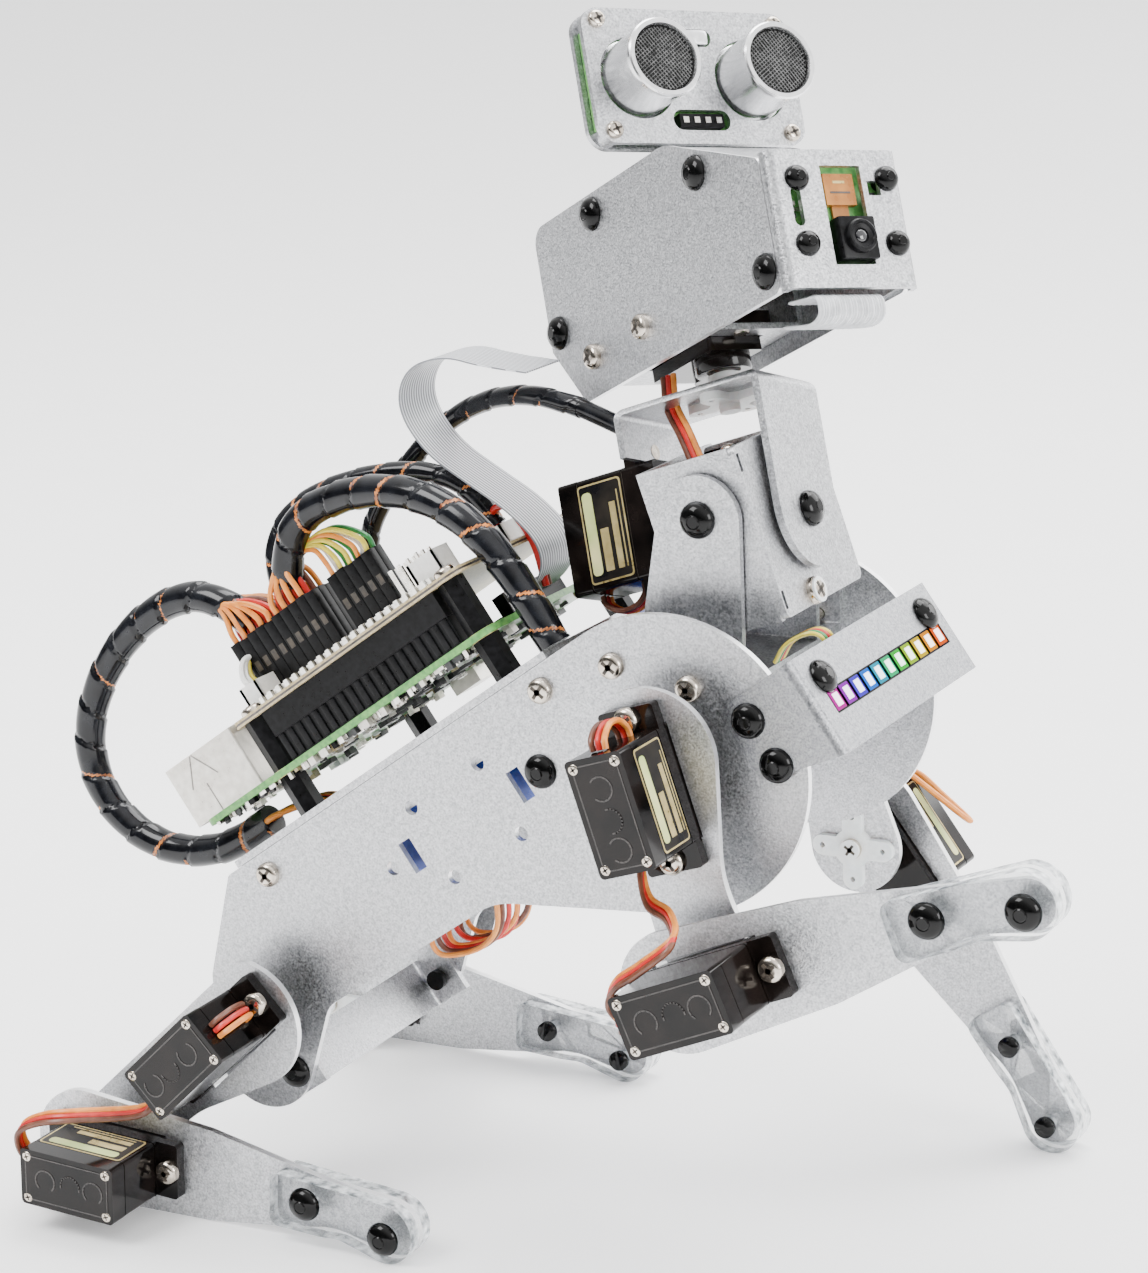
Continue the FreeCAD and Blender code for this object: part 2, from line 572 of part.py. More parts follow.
for index, (y, z) in enumerate(LIGHT_SPOTS):
    fasteners.append(rivet(f"light_rivet_{index}", (CHEST_FRONT, y, z), (1, 0, 0), 5.0))

# Light board behind the chest bracket: its row of lamps looks out through the window.
light_back = CHEST_FRONT - thick - 0.2
strip = block("light_strip", ("board_thick", "58", "14"), (f"{light_back} - board_thick / 2", "0.4", "-8.0"))
light_cuts = [rod(f"light_board_hole_{index}", "rivet_hole", "4", (light_back - 3, y, z), (1, 0, 0))
              for index, (y, z) in enumerate(LIGHT_SPOTS)]
lamps = [block(f"lamp_{index}", ("1.6", "4.0", "4.2"), (f"{light_back} + 0.8", f"{0.4 + (index - 5) * 4.9}", "-9.4"))
         for index in range(11)]
node("light_board", group("light_board", [cut("light_strip_cut", strip, light_cuts), *lamps]), TORSO)

# Battery pack under the deck, between the side plates.
battery = pad("battery_cells", rectangle(-19.0, -11.0, 19.0, 11.0, 8.0), "66")
battery_place = frame((13.0, 0, DECK_TOP - thick - 11.0), (0, 1, 0), (0, 0, 1))
node("battery_pack", battery, TORSO.multiply(battery_place))

# Computer board on its standoffs, with its ports, chips and tall header.
PORT_END = -50.0
board_low = DECK_TOP + 9.0
board_top = board_low + size("board_thick")
board_middle = PORT_END + size("board_long") / 2
board = pad("board_sheet", rectangle(-size("board_long") / 2, -size("board_wide") / 2, size("board_long") / 2,
                                     size("board_wide") / 2, 3.0), "board_thick", plane="XY_Plane")
board_cuts = [rod(f"board_hole_{index}", "screw_hole", "4", (x, y, board_low - 1)) for index, (x, y) in enumerate(BOARD_HOLES)]
board_place = at(board_middle, 0, board_low + size("board_thick") / 2)
JACK = (20.5, 16.0, 13.5)
jack_middle = (PORT_END - 3.5 + JACK[0] / 2, -17.7, board_top + JACK[2] / 2)
jack = cut("network_jack", block("jack_shell", JACK, jack_middle),
           [block("jack_mouth", ("13", "11.8", "8.6"), (f"{PORT_END - 3.5 + 6}", "-17.7", f"{board_top + 6.6}"))])
ports = [jack]
for index, middle in enumerate((1.0, 19.0)):
    shell = block(f"usb_shell_{index}", ("17.5", "14.6", "15.6"), (f"{PORT_END - 2.5 + 8.75}", middle, f"{board_top + 7.8}"))
    mouths = [block(f"usb_mouth_{index}_{level}", ("12", "12.4", "5.0"),
                    (f"{PORT_END - 2.5 + 5.9}", middle, f"{board_top + 4.0 + 7.6 * level}")) for level in (0, 1)]
    ports.append(cut(f"usb_port_{index}", shell, mouths))
chips = [block("processor", ("15", "15", "2.4"), ("-8", "6", f"{board_top + 1.2}")),
         block("memory", ("10", "14", "1.4"), ("9", "8", f"{board_top + 0.7}")),
         block("camera_socket", ("3", "22", "5.5"), ("27.4", "4", f"{board_top + 2.75}")),
         block("power_socket", ("7.5", "9", "3.2"), ("-8", "24", f"{board_low - 1.6}"))]
header_middle, header_tall = (2.5, -24.5), 11.7
tall_header = block("tall_header", ("51", "5", f"{header_tall}"), (f"{header_middle[0]}", f"{header_middle[1]}",
                                                                   f"{board_top + header_tall / 2}"))
carved_board = cut("board_drilled", shifted(board, board_place), board_cuts)
node("computer_board", group("computer_board", [carved_board, *ports, *chips, tall_header]), TORSO)

# Servo driver board on top, with its pins, plugs and sockets.
hat_low = board_top + header_tall
HAT_BACK, HAT_FRONT = -31.0, 36.0
hat_sheet = pad("hat_sheet", rectangle(HAT_BACK, -28.0, HAT_FRONT, 28.0, 3.0), "board_thick", plane="XY_Plane")
hat_place = at(0, 0, hat_low + size("board_thick") / 2)
hat_cuts = [rod(f"hat_hole_{index}", "screw_hole", "4", (x, y, hat_low - 1)) for index, (x, y) in enumerate(BOARD_HOLES)]
hat_top = hat_low + size("board_thick")
hat_pieces = [cut("hat_drilled", shifted(hat_sheet, hat_place), hat_cuts)]
HAT_BLOCKS = [
    # (name, long, wide, tall, x, y)
    ("rear_plugs", 25.4, 11.0, 15.0, -17.5, -9.5),
    ("front_plugs", 12.7, 8.0, 15.0, 4.5, -10.0),
    ("head_socket", 8.0, 9.0, 6.0, -10.0, 13.0),
    ("sensor_socket", 5.0, 6.0, 5.0, 29.0, 5.0),
]
for name, long, wide, tall, x, y in HAT_BLOCKS:
    hat_pieces.append(block(name, (f"{long}", f"{wide}", f"{tall}"), (f"{x}", f"{y}", f"{hat_top + tall / 2}")))
hat_pieces.append(block("light_socket", ("5", "7.5", "5.7"), ("-26.5", "-17.6", f"{hat_top + 2.85}")))
hat_pieces.append(block("battery_socket", ("7.5", "5.8", "6.2"), ("26", "-18.5", f"{hat_top + 3.1}")))
hat_pieces.append(block("driver_chip", ("9.5", "9.5", "1.4"), ("12", "16", f"{hat_top + 0.7}")))
node("driver_board", group("driver_board", hat_pieces), TORSO)

standoffs = []
for index, (x, y) in enumerate(BOARD_HOLES):
    standoffs.append(rod(f"low_standoff_{index}", "2.6", f"{board_low - DECK_TOP}", (x, y, DECK_TOP)))
    if y > 0 or x < 0:
        standoffs.append(rod(f"high_standoff_{index}", "2.6", f"{header_tall}", (x, y, board_top)))
for index, (x, y) in enumerate(BOARD_HOLES):
    standoffs.append(rod(f"standoff_screw_{index}", "2.3", "1.5", (x, y, hat_top)))
standoffs.append(block("harness_clamp", ("7", "9", "8"), ("-41", "-14", f"{DECK_TOP + 4}")))
node("board_standoffs", group("board_standoffs", standoffs), TORSO)

# Neck bracket: two arms on a cross sheet whose flanges are screwed inside the side plates.
BRACKET = Placement(PITCH_AXIS, Rotation())
NEAR_ARM, FAR_ARM = -19.3, 15.8
arm_fold = pad("arm_fold", channel(-FAR_ARM, -NEAR_ARM, 32.6, -12, -12, thick, 2.0), "40")
arm_fold_place = frame((-4, 0, 0), (0, -1, 0), (0, 0, -1))
arm_face = pad("arm_face", [(0, 0, 8.6), (-14.5, -33, 0), (8.6, -33, 0)], "60")
arms = common("neck_arms", shifted(arm_fold, arm_fold_place), arm_face)
cross_fold = pad("cross_fold", channel(-inside, inside, 32.7, 22.5, 22.5, thick, 2.0), "25")
cross_place = frame((-5, 0, 0), (0, -1, 0), (0, 0, -1))
to_bracket = BRACKET.inverse().multiply(TORSO)
bracket_screws = [to_bracket.multVec(Vector(x, 0, z)) for x, z in SIDE_SCREWS[2:]]
bracket_cuts = [rod(f"bracket_screw_hole_{way}_{index}", "screw_hole", "4", (spot.x, way * (inside - 3), spot.z), (0, way, 0))
                for way in (-1, 1) for index, spot in enumerate(bracket_screws)]
bracket_cuts.append(rod("near_arm_hole", "rivet_shank + running_gap", "4", (0, NEAR_ARM + 3, 0), (0, -1, 0)))
bracket_cuts.append(rod("far_arm_hole", "hub_hole", "4", (0, FAR_ARM - 3, 0), (0, 1, 0)))
neck_bracket = cut("neck_bracket", fuse("neck_bracket_blank", [arms, shifted(cross_fold, cross_place)]), bracket_cuts)
node("neck_bracket", neck_bracket, BRACKET)

node("frame_fasteners", group("frame_fasteners", fasteners), TORSO)

# Horns fixed to the torso: one at each hip, and one on the neck bracket's far arm.
horns = []
for leg, (side, (upper, lower)) in LEGS.items():
    here = horn(leg + "_hip_horn")
    arms = math.radians(45) if leg.startswith("front") else tilt + math.radians(45)
    hip_place = link_frame(upper.Base, arms).multiply(servo_frame(side, hip_face))
    horns.append(shifted(here, hip_place))
pitch_servo_place = frame((0, FAR_ARM - thick - size("leg_step"), 0), (0, 0, -1), (0, -1, 0))
horns.append(shifted(horn("neck_pitch_horn"), BRACKET.multiply(pitch_servo_place)))
node("servo_horns", group("servo_horns", horns), Placement())

# ---------------------------------------------------------------- neck, which nods

NECK_TOP, NECK_LOW, NECK_FRONT, NECK_BACK = 11.3, -23.0, 10.8, -10.9
NEAR_WALL, REAR_WALL_END = -17.3, 12.5
neck_tall = NECK_TOP - NECK_LOW
neck_middle = (NECK_TOP + NECK_LOW) / 2
near_wall = block("neck_near_wall", (f"{NECK_FRONT - thick - NECK_BACK}", "plate_thick", f"{neck_tall}"),
                  (f"{(NECK_FRONT - thick + NECK_BACK) / 2}", f"{NEAR_WALL} + plate_thick / 2", f"{neck_middle}"))
rear_wall = block("neck_rear_wall", ("plate_thick", f"{REAR_WALL_END - NEAR_WALL}", f"{neck_tall - 6}"),
                  (f"{NECK_BACK} + plate_thick / 2", f"{(REAR_WALL_END + NEAR_WALL) / 2}", f"{neck_middle + 3}"))
neck_cuts = [rod("roll_hub_hole", "hub_hole", "4", ("-13", "0", "-roll_drop"), (1, 0, 0)),
             rod("near_pivot_hole", "rivet_shank", "4", ("0", "-18.5", "0"), (0, 1, 0))]
node("neck_box_shell", cut("neck_box_shell", fuse("neck_box_blank", [near_wall, rear_wall]), neck_cuts), NECK)

servo_wall = FAR_ARM - thick - size("leg_step")
neck_front = pad("neck_front_sheet", rectangle(NEAR_WALL, NECK_LOW + 0.3, -NEAR_WALL, NECK_TOP, 1.5), "plate_thick",
                 holes=[(0, -size("roll_drop"), "rivet_hole"), (-4.4, -20.3, "screw_hole")],
                 windows=[rectangle(-16.9, 6.2, -15.9, 9.8), rectangle(-16.9, -21.0, -15.9, -17.4)],
                 plane="YZ_Plane")
neck_front_place = at(NECK_FRONT - thick / 2, 0, 0)
inner_wall = pad("neck_inner_wall", rectangle(-7.0, NECK_LOW + 0.3, NECK_FRONT - 0.2, NECK_TOP, 1.0), "plate_thick",
                 windows=[rectangle(-size("case_wide") / 2 - 0.3, size("shaft_inset") - size("case_long") - 0.3,
                                    size("case_wide") / 2 + 0.3, size("shaft_inset") + 0.3)],
                 holes=[(0, -spot[0], "small_screw") for spot in ear_spots])
inner_wall_place = at(0, servo_wall + thick / 2, 0)
node("neck_front_plate", fuse("neck_front_plate", [shifted(neck_front, neck_front_place),
                                                   shifted(inner_wall, inner_wall_place)]), NECK)
pitch_place = frame((0, servo_wall, 0), (0, 0, -1), (0, -1, 0))
node("neck_pitch_servo", servo("neck_pitch_servo"), NECK.multiply(pitch_place))
ROLL_SERVO = frame((size("bracket_back"), 0, 0), (0, 0, 1), (-1, 0, 0))
roll_horn_place = at(0, 0, -size("roll_drop")).multiply(ROLL_SERVO)
neck_fixings = [shifted(horn("neck_roll_horn", "roll_step", 45), roll_horn_place.multiply(turn((0, 0, 1), 45))),
                rivet("near_pivot_rivet", (0, NEAR_ARM - 0.2, 0), (0, -1, 0), 3.7, tip=False),
                rivet("front_pivot_rivet", (size("bracket_front") + 0.2, 0, -size("roll_drop")), (1, 0, 0), 4.2),
                screw("neck_front_screw", (NECK_FRONT, -4.4, -20.3), (1, 0, 0), 3.5)]
node("neck_horn_and_fasteners", group("neck_horn_and_fasteners", neck_fixings), NECK)

# ---------------------------------------------------------------- yoke, which rolls

yoke_end = size("case_long") - size("shaft_inset") + 0.3
yoke_fold = pad("yoke_fold", channel(size("bracket_back"), size("bracket_front"), size("yoke_top"), yoke_end,
                                     -size("yoke_half") - 1, thick, 2.5), "2 * yoke_half")
yoke_face = pad("yoke_face", [(0, 0, size("yoke_half")), (size("yoke_half") - 2, size("yoke_top") - 2, 2.0),
                              (2 - size("yoke_half"), size("yoke_top") - 2, 2.0)], "60", plane="YZ_Plane")
ear_spot = ear_middle + size("ear_hole_gap") / 2
yoke_cuts = [rod("front_pivot_hole", "rivet_shank + running_gap", "4", ("bracket_front - 3", "0", "0"), (1, 0, 0)),
             rod("roll_ear_hole", "small_screw", "4", ("bracket_back - 1", "0", ear_spot), (1, 0, 0)),
             rod("yaw_hub_hole", "hub_hole", "4", ("0", "0", "yoke_top - 3"), (0, 0, 1))]
node("yoke_bracket", cut("yoke_bracket", common("yoke_shape", yoke_fold, yoke_face), yoke_cuts), YOKE)
node("neck_roll_servo", servo("neck_roll_servo"), YOKE.multiply(ROLL_SERVO))
yaw_step = "servo_shelf + head_lift - yoke_top"
YAW_SERVO = frame((0, 0, size("servo_shelf")), (-1, 0, 0), (0, 0, 1))
on_yoke = YOKE.multiply(at(0, 0, size("head_lift"))).multiply(YAW_SERVO)
node("head_yaw_horn", horn("head_yaw_horn", yaw_step), on_yoke)

# ---------------------------------------------------------------- head, which turns

sheet_thick, head_half = size("head_sheet"), size("head_half")
FACE = size("face_forward")
RIVET_SPOTS = [(24.1, 18.2), (-15.3, 23.6), (41.8, -7.1), (-35.5, 5.2)]
SHELF_SCREWS = [(-3.5, -3.4), (-23.3, -3.4)]
CREST = (12.0, 27.2)
SNOUT = (FACE - 2.9, 14.1)
head_outline = [(SNOUT[0] - 2, -10.0, 2.0), (SNOUT[0] - 2, SNOUT[1] - 2, 2.0), (CREST[0], CREST[1] - 12, 12.0),
                (-35.5, 24.3, 3.8), (-38.3, 2.5, 1.0), (-28.6, -10.3, 1.0)]
plate_holes = [(x, z, "rivet_hole") for x, z in RIVET_SPOTS] + [(x, z, "screw_hole") for x, z in SHELF_SCREWS]
for name, side in (("head_side_right", -1), ("head_side_left", 1)):
    plate = pad(name, head_outline, "head_sheet", holes=plate_holes)
    node(name, plate, HEAD.multiply(at(0, side * (head_half - sheet_thick / 2), 0)))

within = head_half - sheet_thick
CAMERA = (1.0, 2.2)
CAMERA_SPOTS = [(CAMERA[0] + y, CAMERA[1] + z) for y in (-9.9, 9.9) for z in (6.4, -6.1)]
face_fold = pad("face_fold", channel(-head_half, head_half, FACE, FACE - 2.7, FACE - 2.7, sheet_thick, 2.0), "26.5")
face_place = frame((0, 0, 0.95), (0, 1, 0), (1, 0, 0))
face_tabs = [block(f"face_tab_{way}", (f"{FACE - 0.5 - 37.0}", "1.0", "8"),
                   (f"{(FACE - 0.5 + 37.0) / 2}", f"{way * (within - 0.5)}", "-7.2")) for way in (-1, 1)]
face_cuts = [rod(f"face_hole_{index}", "rivet_hole", "4", (FACE - 3, y, z), (1, 0, 0))
             for index, (y, z) in enumerate(CAMERA_SPOTS)]
face_cuts += [rod(f"face_side_hole_{way}", "rivet_hole", "4", (RIVET_SPOTS[2][0], way * (within - 3), RIVET_SPOTS[2][1]),
                  (0, way, 0)) for way in (-1, 1)]
face_cuts += [rod(f"rivet_room_{index}", "2.6", "10", (37.0, y, z), (1, 0, 0))
              for index, (y, z) in enumerate(CAMERA_SPOTS) if z < 0]
face_cuts.append(block("camera_window", ("5", "8.8", "19"), (f"{FACE}", f"{CAMERA[0]}", "1.6")))
face_cuts.append(block("wire_window", ("5", "2.8", "2.8"), (f"{FACE}", "7.9", "6.8")))
face_cuts.append(shifted(pad("oval_window", [(-9.6, 0.6, 1.1), (-9.6, 5.8, 1.1)], "6", plane="YZ_Plane"),
                         at(FACE, 0, 0)))
face_blank = fuse("face_blank", [shifted(face_fold, face_place), *face_tabs])
node("head_face_cover", cut("head_face_cover", face_blank, face_cuts), HEAD)

# Top cover: back wall, flat crown and sloping brow in one folded sheet, with ears for the rivets.
back_x = -38.6
crest = (CREST[0], CREST[1] - 12.2)
brow = (SNOUT[0] - 1.0, SNOUT[1] - 1.0)
top_section = [(back_x, 6.0, 0), (back_x + sheet_thick, 6.0, 0), (back_x + 3.0, 24.2, sheet_thick - 3.0),
               (*crest, sheet_thick - 12.0), (brow[0], brow[1] - 1.3, 0), (*brow, 0), (*crest, 12.0),
               (back_x + 3.0, 24.2, 3.0)]
top_sheet = pad("top_sheet", top_section, f"{2 * within - 0.1}")
top_ears = [block(f"top_ear_{way}_{index}", ("8", "1.0", f"{drop}"), (x, f"{way * (within - 0.55)}", f"{z + lift}"))
            for way in (-1, 1) for index, (x, z, drop, lift) in enumerate(((24.1, 17.6, 6.2, 0), (-15.3, 23.4, 6.4, 0)))]
top_ears += [block(f"back_ear_{way}", ("7", "1.0", "8"), (-35.1, f"{way * (within - 0.55)}", "5.5")) for way in (-1, 1)]
ear_cuts = [rod(f"top_ear_hole_{way}_{index}", "rivet_hole", "4", (x, way * (within - 3), z), (0, way, 0))
            for way in (-1, 1) for index, (x, z) in enumerate((RIVET_SPOTS[0], RIVET_SPOTS[1], RIVET_SPOTS[3]))]
TOUCH_SPOTS = [(-28.5, -7.0), (-10.5, -7.0), (-28.5, 7.0), (-10.5, 7.0)]
crown_top = CREST[1]
ear_cuts += [rod(f"sonar_foot_seat_{way}", "screw_hole", "6", (-1.2, 5 * way, crown_top - 4)) for way in (-1, 1)]
ear_cuts += [rod(f"crown_hole_{index}", "rivet_hole", "6", (x, y, crown_top - 4)) for index, (x, y) in enumerate(TOUCH_SPOTS)]
node("head_top_cover", cut("head_top_cover", fuse("top_blank", [top_sheet, *top_ears]), ear_cuts), HEAD)

touch_low = crown_top + 0.1
touch = block("touch_sheet", ("27", "23", "board_thick"), ("-19.5", "0", f"{touch_low} + board_thick / 2"))
touch_cuts = [rod(f"touch_hole_{index}", "rivet_hole", "4", (x, y, touch_low - 1)) for index, (x, y) in enumerate(TOUCH_SPOTS)]
node("touch_board", cut("touch_board", touch, touch_cuts), HEAD)

# Shelf that carries the yaw servo, screwed to the side plates.
shelf_half = within - 0.05
shelf_fold = pad("shelf_fold", channel(-shelf_half, shelf_half, sheet_thick - size("servo_shelf"), -1.0, -1.0,
                                       sheet_thick, 1.8), "38")
shelf_place = frame((-8.5, 0, 0), (0, -1, 0), (0, 0, -1))
shelf_cuts = [block("shelf_window", ("case_long + 0.6", "case_wide + 0.6", "6"),
                    ("shaft_inset - case_long / 2", "0", "servo_shelf"))]
shelf_cuts += [rod(f"shelf_ear_hole_{index}", "small_screw", "4", (-spot[0], 0, "servo_shelf - 2"))
               for index, spot in enumerate(ear_spots)]
shelf_cuts += [rod(f"shelf_side_hole_{way}_{index}", "screw_hole", "4", (x, way * (within - 3), z), (0, way, 0))
               for way in (-1, 1) for index, (x, z) in enumerate(SHELF_SCREWS)]
node("head_servo_shelf", cut("head_servo_shelf", shifted(shelf_fold, shelf_place), shelf_cuts), HEAD)
node("head_yaw_servo", servo("head_yaw_servo"), HEAD.multiply(YAW_SERVO))

# Camera board behind the face, its lens block in the window.
camera_back = FACE - sheet_thick - 2.2
camera_sheet = block("camera_sheet", ("1.0", "23.6", "21.5"), (f"{camera_back}", "0.3", "1.4"))
camera_cuts = [rod(f"camera_hole_{index}", "rivet_hole", "4", (camera_back - 2, y, z), (1, 0, 0))
               for index, (y, z) in enumerate(CAMERA_SPOTS)]
lens_block = block("lens_block", ("4.4", "6.4", "7.2"), (f"{camera_back + 2.7}", "1.9", "-3.0"))
lens_barrel = rod("lens_barrel", "2.8", "1.2", (camera_back + 4.9, 1.9, -3.0), (1, 0, 0))
flex_block = block("flex_block", ("1.6", "7.0", "5.6"), (f"{camera_back + 1.3}", "1.0", "6.4"))
ribbon_clamp = block("ribbon_clamp", ("2.6", "13", "4"), (f"{camera_back - 1.8}", "0.3", "-6.6"))
camera_pieces = [cut("camera_drilled", camera_sheet, camera_cuts), fuse("lens", [lens_block, lens_barrel]), flex_block,
                 ribbon_clamp]
node("camera_module", group("camera_module", camera_pieces), HEAD)

# Ultrasonic sensor: two sheets with spacers, and the sensor board between them.
SONAR_FRONT, SONAR_LOW, SONAR_HIGH, SONAR_HALF = 7.7, 30.1, 57.7, 23.7
SONAR_GAP = 2.8
can_height = 43.5
SONAR_SPOTS = [(y, z) for y in (-20.3, 20.3) for z in (32.6, 55.2)]
sonar_outline = rectangle(-SONAR_HALF, SONAR_LOW, SONAR_HALF, SONAR_HIGH, 4.0)
sonar_holes = [(y, z, "small_screw") for y, z in SONAR_SPOTS]
can_windows = [[(sign * size("can_spread") / 2, can_height - 0.1, size("can_radius") + 0.3),
                (sign * size("can_spread") / 2, can_height + 0.1, size("can_radius") + 0.3)] for sign in (-1, 1)]
small_windows = [[(-3.4, 52.0, 1.8), (3.4, 52.0, 1.8)], [(-4.4, 35.0, 2.1), (4.4, 35.0, 2.1)]]
front_sheet = pad("sonar_front", sonar_outline, "head_sheet", holes=sonar_holes, windows=[*can_windows, *small_windows],
                  plane="YZ_Plane")
back_sheet = pad("sonar_back", sonar_outline, "head_sheet", holes=sonar_holes, plane="YZ_Plane")
sonar_back_x = SONAR_FRONT - sheet_thick - SONAR_GAP - sheet_thick
spacers = [cut(f"sonar_spacer_{index}", rod(f"sonar_spacer_body_{index}", "2.2", f"{SONAR_GAP}",
                                            (sonar_back_x + sheet_thick, y, z), (1, 0, 0)),
               [rod(f"sonar_spacer_bore_{index}", "small_screw", f"{SONAR_GAP + 1}",
                    (sonar_back_x + sheet_thick - 0.5, y, z), (1, 0, 0))])
           for index, (y, z) in enumerate(SONAR_SPOTS)]
foot_low = crown_top + 0.1
foot_stem = block("sonar_stem", ("head_sheet", "16", f"{SONAR_LOW + 1 - foot_low}"),
                  (f"{sonar_back_x} + head_sheet / 2", "0", f"{(SONAR_LOW + 1 + foot_low) / 2}"))
foot_lip = cut("sonar_lip", block("sonar_lip_blank", ("7", "16", "head_sheet"),
                                  (f"{sonar_back_x - 3.0}", "0", f"{foot_low} + head_sheet / 2")),
               [rod(f"sonar_foot_hole_{way}", "screw_hole", "4", (-1.2, 5 * way, foot_low - 1)) for way in (-1, 1)])
back_whole = fuse("sonar_back_whole", [shifted(back_sheet, at(sonar_back_x + sheet_thick / 2, 0, 0)),
                                       foot_stem, foot_lip])
shifted(front_sheet, at(SONAR_FRONT - sheet_thick / 2, 0, 0))
node("sonar_plates", group("sonar_plates", [front_sheet, back_whole, *spacers]), HEAD)

sonar_board_x = SONAR_FRONT - sheet_thick - 1.2
sonar_sheet = block("sonar_sheet", ("board_thick", "45", "20"), (f"{sonar_board_x} - board_thick / 2", "0", can_height))
sonar_cuts = [rod(f"sonar_corner_{index}", "2.6", "6", (sonar_board_x - 4, y, z), (1, 0, 0))
              for index, (y, z) in enumerate(SONAR_SPOTS)]
sonar_pieces = [cut("sonar_board", sonar_sheet, sonar_cuts)]
can_long = 13.6
for name, sign in (("right", -1), ("left", 1)):
    spot = sign * size("can_spread") / 2
    can = rod(f"can_{name}", "can_radius", f"{can_long}", (sonar_board_x, spot, can_height), (1, 0, 0))
    mouth = rod(f"can_mouth_{name}", "can_radius - 1.2", "2.0", (sonar_board_x + can_long - 1.5, spot, can_height), (1, 0, 0))
    sonar_pieces.append(cut(f"can_shell_{name}", can, [mouth]))
sonar_pieces.append(block("sonar_crystal", ("3.0", "8.2", "3.0"), (f"{sonar_board_x + 1.5}", "0", "52.0")))
sonar_pieces.append(block("sonar_pins", ("2.6", "10.2", "2.6"), (f"{sonar_board_x + 1.3}", "0", "35.0")))
node("sonar_module", group("sonar_module", sonar_pieces), HEAD)

head_fixings = []
for way in (-1, 1):
    for index, (x, z) in enumerate(RIVET_SPOTS):
        head_fixings.append(rivet(f"head_rivet_{way}_{index}", (x, way * head_half, z), (0, way, 0), 3.4))
    for index, (x, z) in enumerate(SHELF_SCREWS):
        head_fixings.append(screw(f"shelf_screw_{way}_{index}", (x, way * head_half, z), (0, way, 0), 4.0))
for index, (y, z) in enumerate(CAMERA_SPOTS):
    head_fixings.append(rivet(f"camera_rivet_{index}", (FACE, y, z), (1, 0, 0), 3.9, head="small_rivet_head"))
for index, (x, y) in enumerate(TOUCH_SPOTS):
    head_fixings.append(rivet(f"touch_rivet_{index}", (x, y, touch_low + size("board_thick")), (0, 0, 1), 4.2, tip=False))
for way in (-1, 1):
    head_fixings.append(screw(f"sonar_foot_screw_{way}", (-1.2, 5 * way, foot_low + sheet_thick), (0, 0, 1), 4.0))
for index, (y, z) in enumerate(SONAR_SPOTS):
    head_fixings.append(fuse(f"sonar_screw_{index}", [
        rod(f"sonar_screw_head_{index}", "1.7", "1.2", (SONAR_FRONT, y, z), (1, 0, 0)),
        rod(f"sonar_screw_shank_{index}", "small_screw - 0.1", "7.2", (SONAR_FRONT - 7.2, y, z), (1, 0, 0))]))
node("head_fasteners", group("head_fasteners", head_fixings), HEAD)

# ---------------------------------------------------------------- cables

# Routes in the torso's frame. Each one starts and ends a hair's breadth from a real piece.
REAR_LOOP = [
    (-44.8, -14.0, 32.4), (-55.4, -13.8, 32.0), (-66.2, -13.2, 35.0), (-75.2, -12.6, 41.0), (-81.0, -12.0, 50.2),
    (-82.2, -11.4, 60.8), (-78.0, -10.8, 70.4), (-69.0, -10.4, 77.6), (-57.8, -10.0, 82.0), (-46.4, -10.0, 83.4),
    (-35.8, -10.0, 81.8), (-28.6, -10.0, 76.2), (-25.2, -10.0, 68.9),
]
FRONT_LOOP = [
    (42.6, -22.0, 28.7), (42.9, -21.6, 40.2), (41.4, -20.5, 52.0), (36.6, -18.4, 62.6), (28.2, -16.0, 71.2),
    (17.6, -13.6, 76.8), (8.6, -12.0, 79.4), (0.4, -10.8, 80.4), (-7.4, -10.2, 77.2), (-12.6, -10.0, 70.4),
]
THIN_LOOP = [
    (29.0, 5.0, 57.2), (28.8, 5.0, 63.4), (26.0, 5.0, 70.4), (20.2, 4.8, 75.8), (12.4, 4.5, 80.0),
    (3.4, 4.0, 83.2), (-5.2, 3.0, 84.8), (-12.6, 1.2, 83.8), (-17.4, -1.2, 79.4), (-19.0, -3.6, 73.2),
    (-18.6, -5.0, 67.2),
]
HEAD_LOOP = [
    (-10.0, 13.0, 58.2), (-9.6, 13.2, 65.4), (-4.6, 13.8, 73.0), (4.6, 14.6, 77.8), (15.8, 15.0, 80.6),
    (27.0, 14.8, 82.0), (38.0, 12.4, 80.4), (47.2, 9.2, 76.8), (54.2, 6.8, 72.4),
]
CAMERA_RIBBON = [
    (50.6, 4.0, 83.8), (44.6, 4.0, 90.2), (35.6, 4.0, 93.0), (28.6, 4.0, 88.0),
    (28.4, 4.0, 77.0), (33.4, 4.0, 66.4), (38.0, 4.0, 57.0), (40.0, 4.0, 47.6), (35.6, 4.0, 42.0), (29.2, 4.0, 41.6),
]


def disc(diameter):
    return Part.Wire(Part.makeCircle(size(diameter) / 2, Vector(0, 0, 0), Vector(1, 0, 0)))


def strip_section():
    wide, deep = size("ribbon_wide") / 2, size("ribbon_thick") / 2
    corners = [Vector(0, y, z) for y, z in ((-wide, -deep), (wide, -deep), (wide, deep), (-wide, deep))]
    return Part.makePolygon([*corners, corners[0]])


CABLES = {
    "harness_rear_loop": (REAR_LOOP, disc("bundle_thick")),
    "harness_front_loop": (FRONT_LOOP, disc("bundle_thick")),
    "harness_thin_loop": (THIN_LOOP, disc("slim_bundle")),
    "harness_head_loop": (HEAD_LOOP, disc("slim_bundle")),
    "camera_ribbon": (CAMERA_RIBBON, strip_section()),
}
for name, (route, section) in CABLES.items():
    node(name, tube(name, route, section), TORSO)

# ---------------------------------------------------------------- check, measure and write

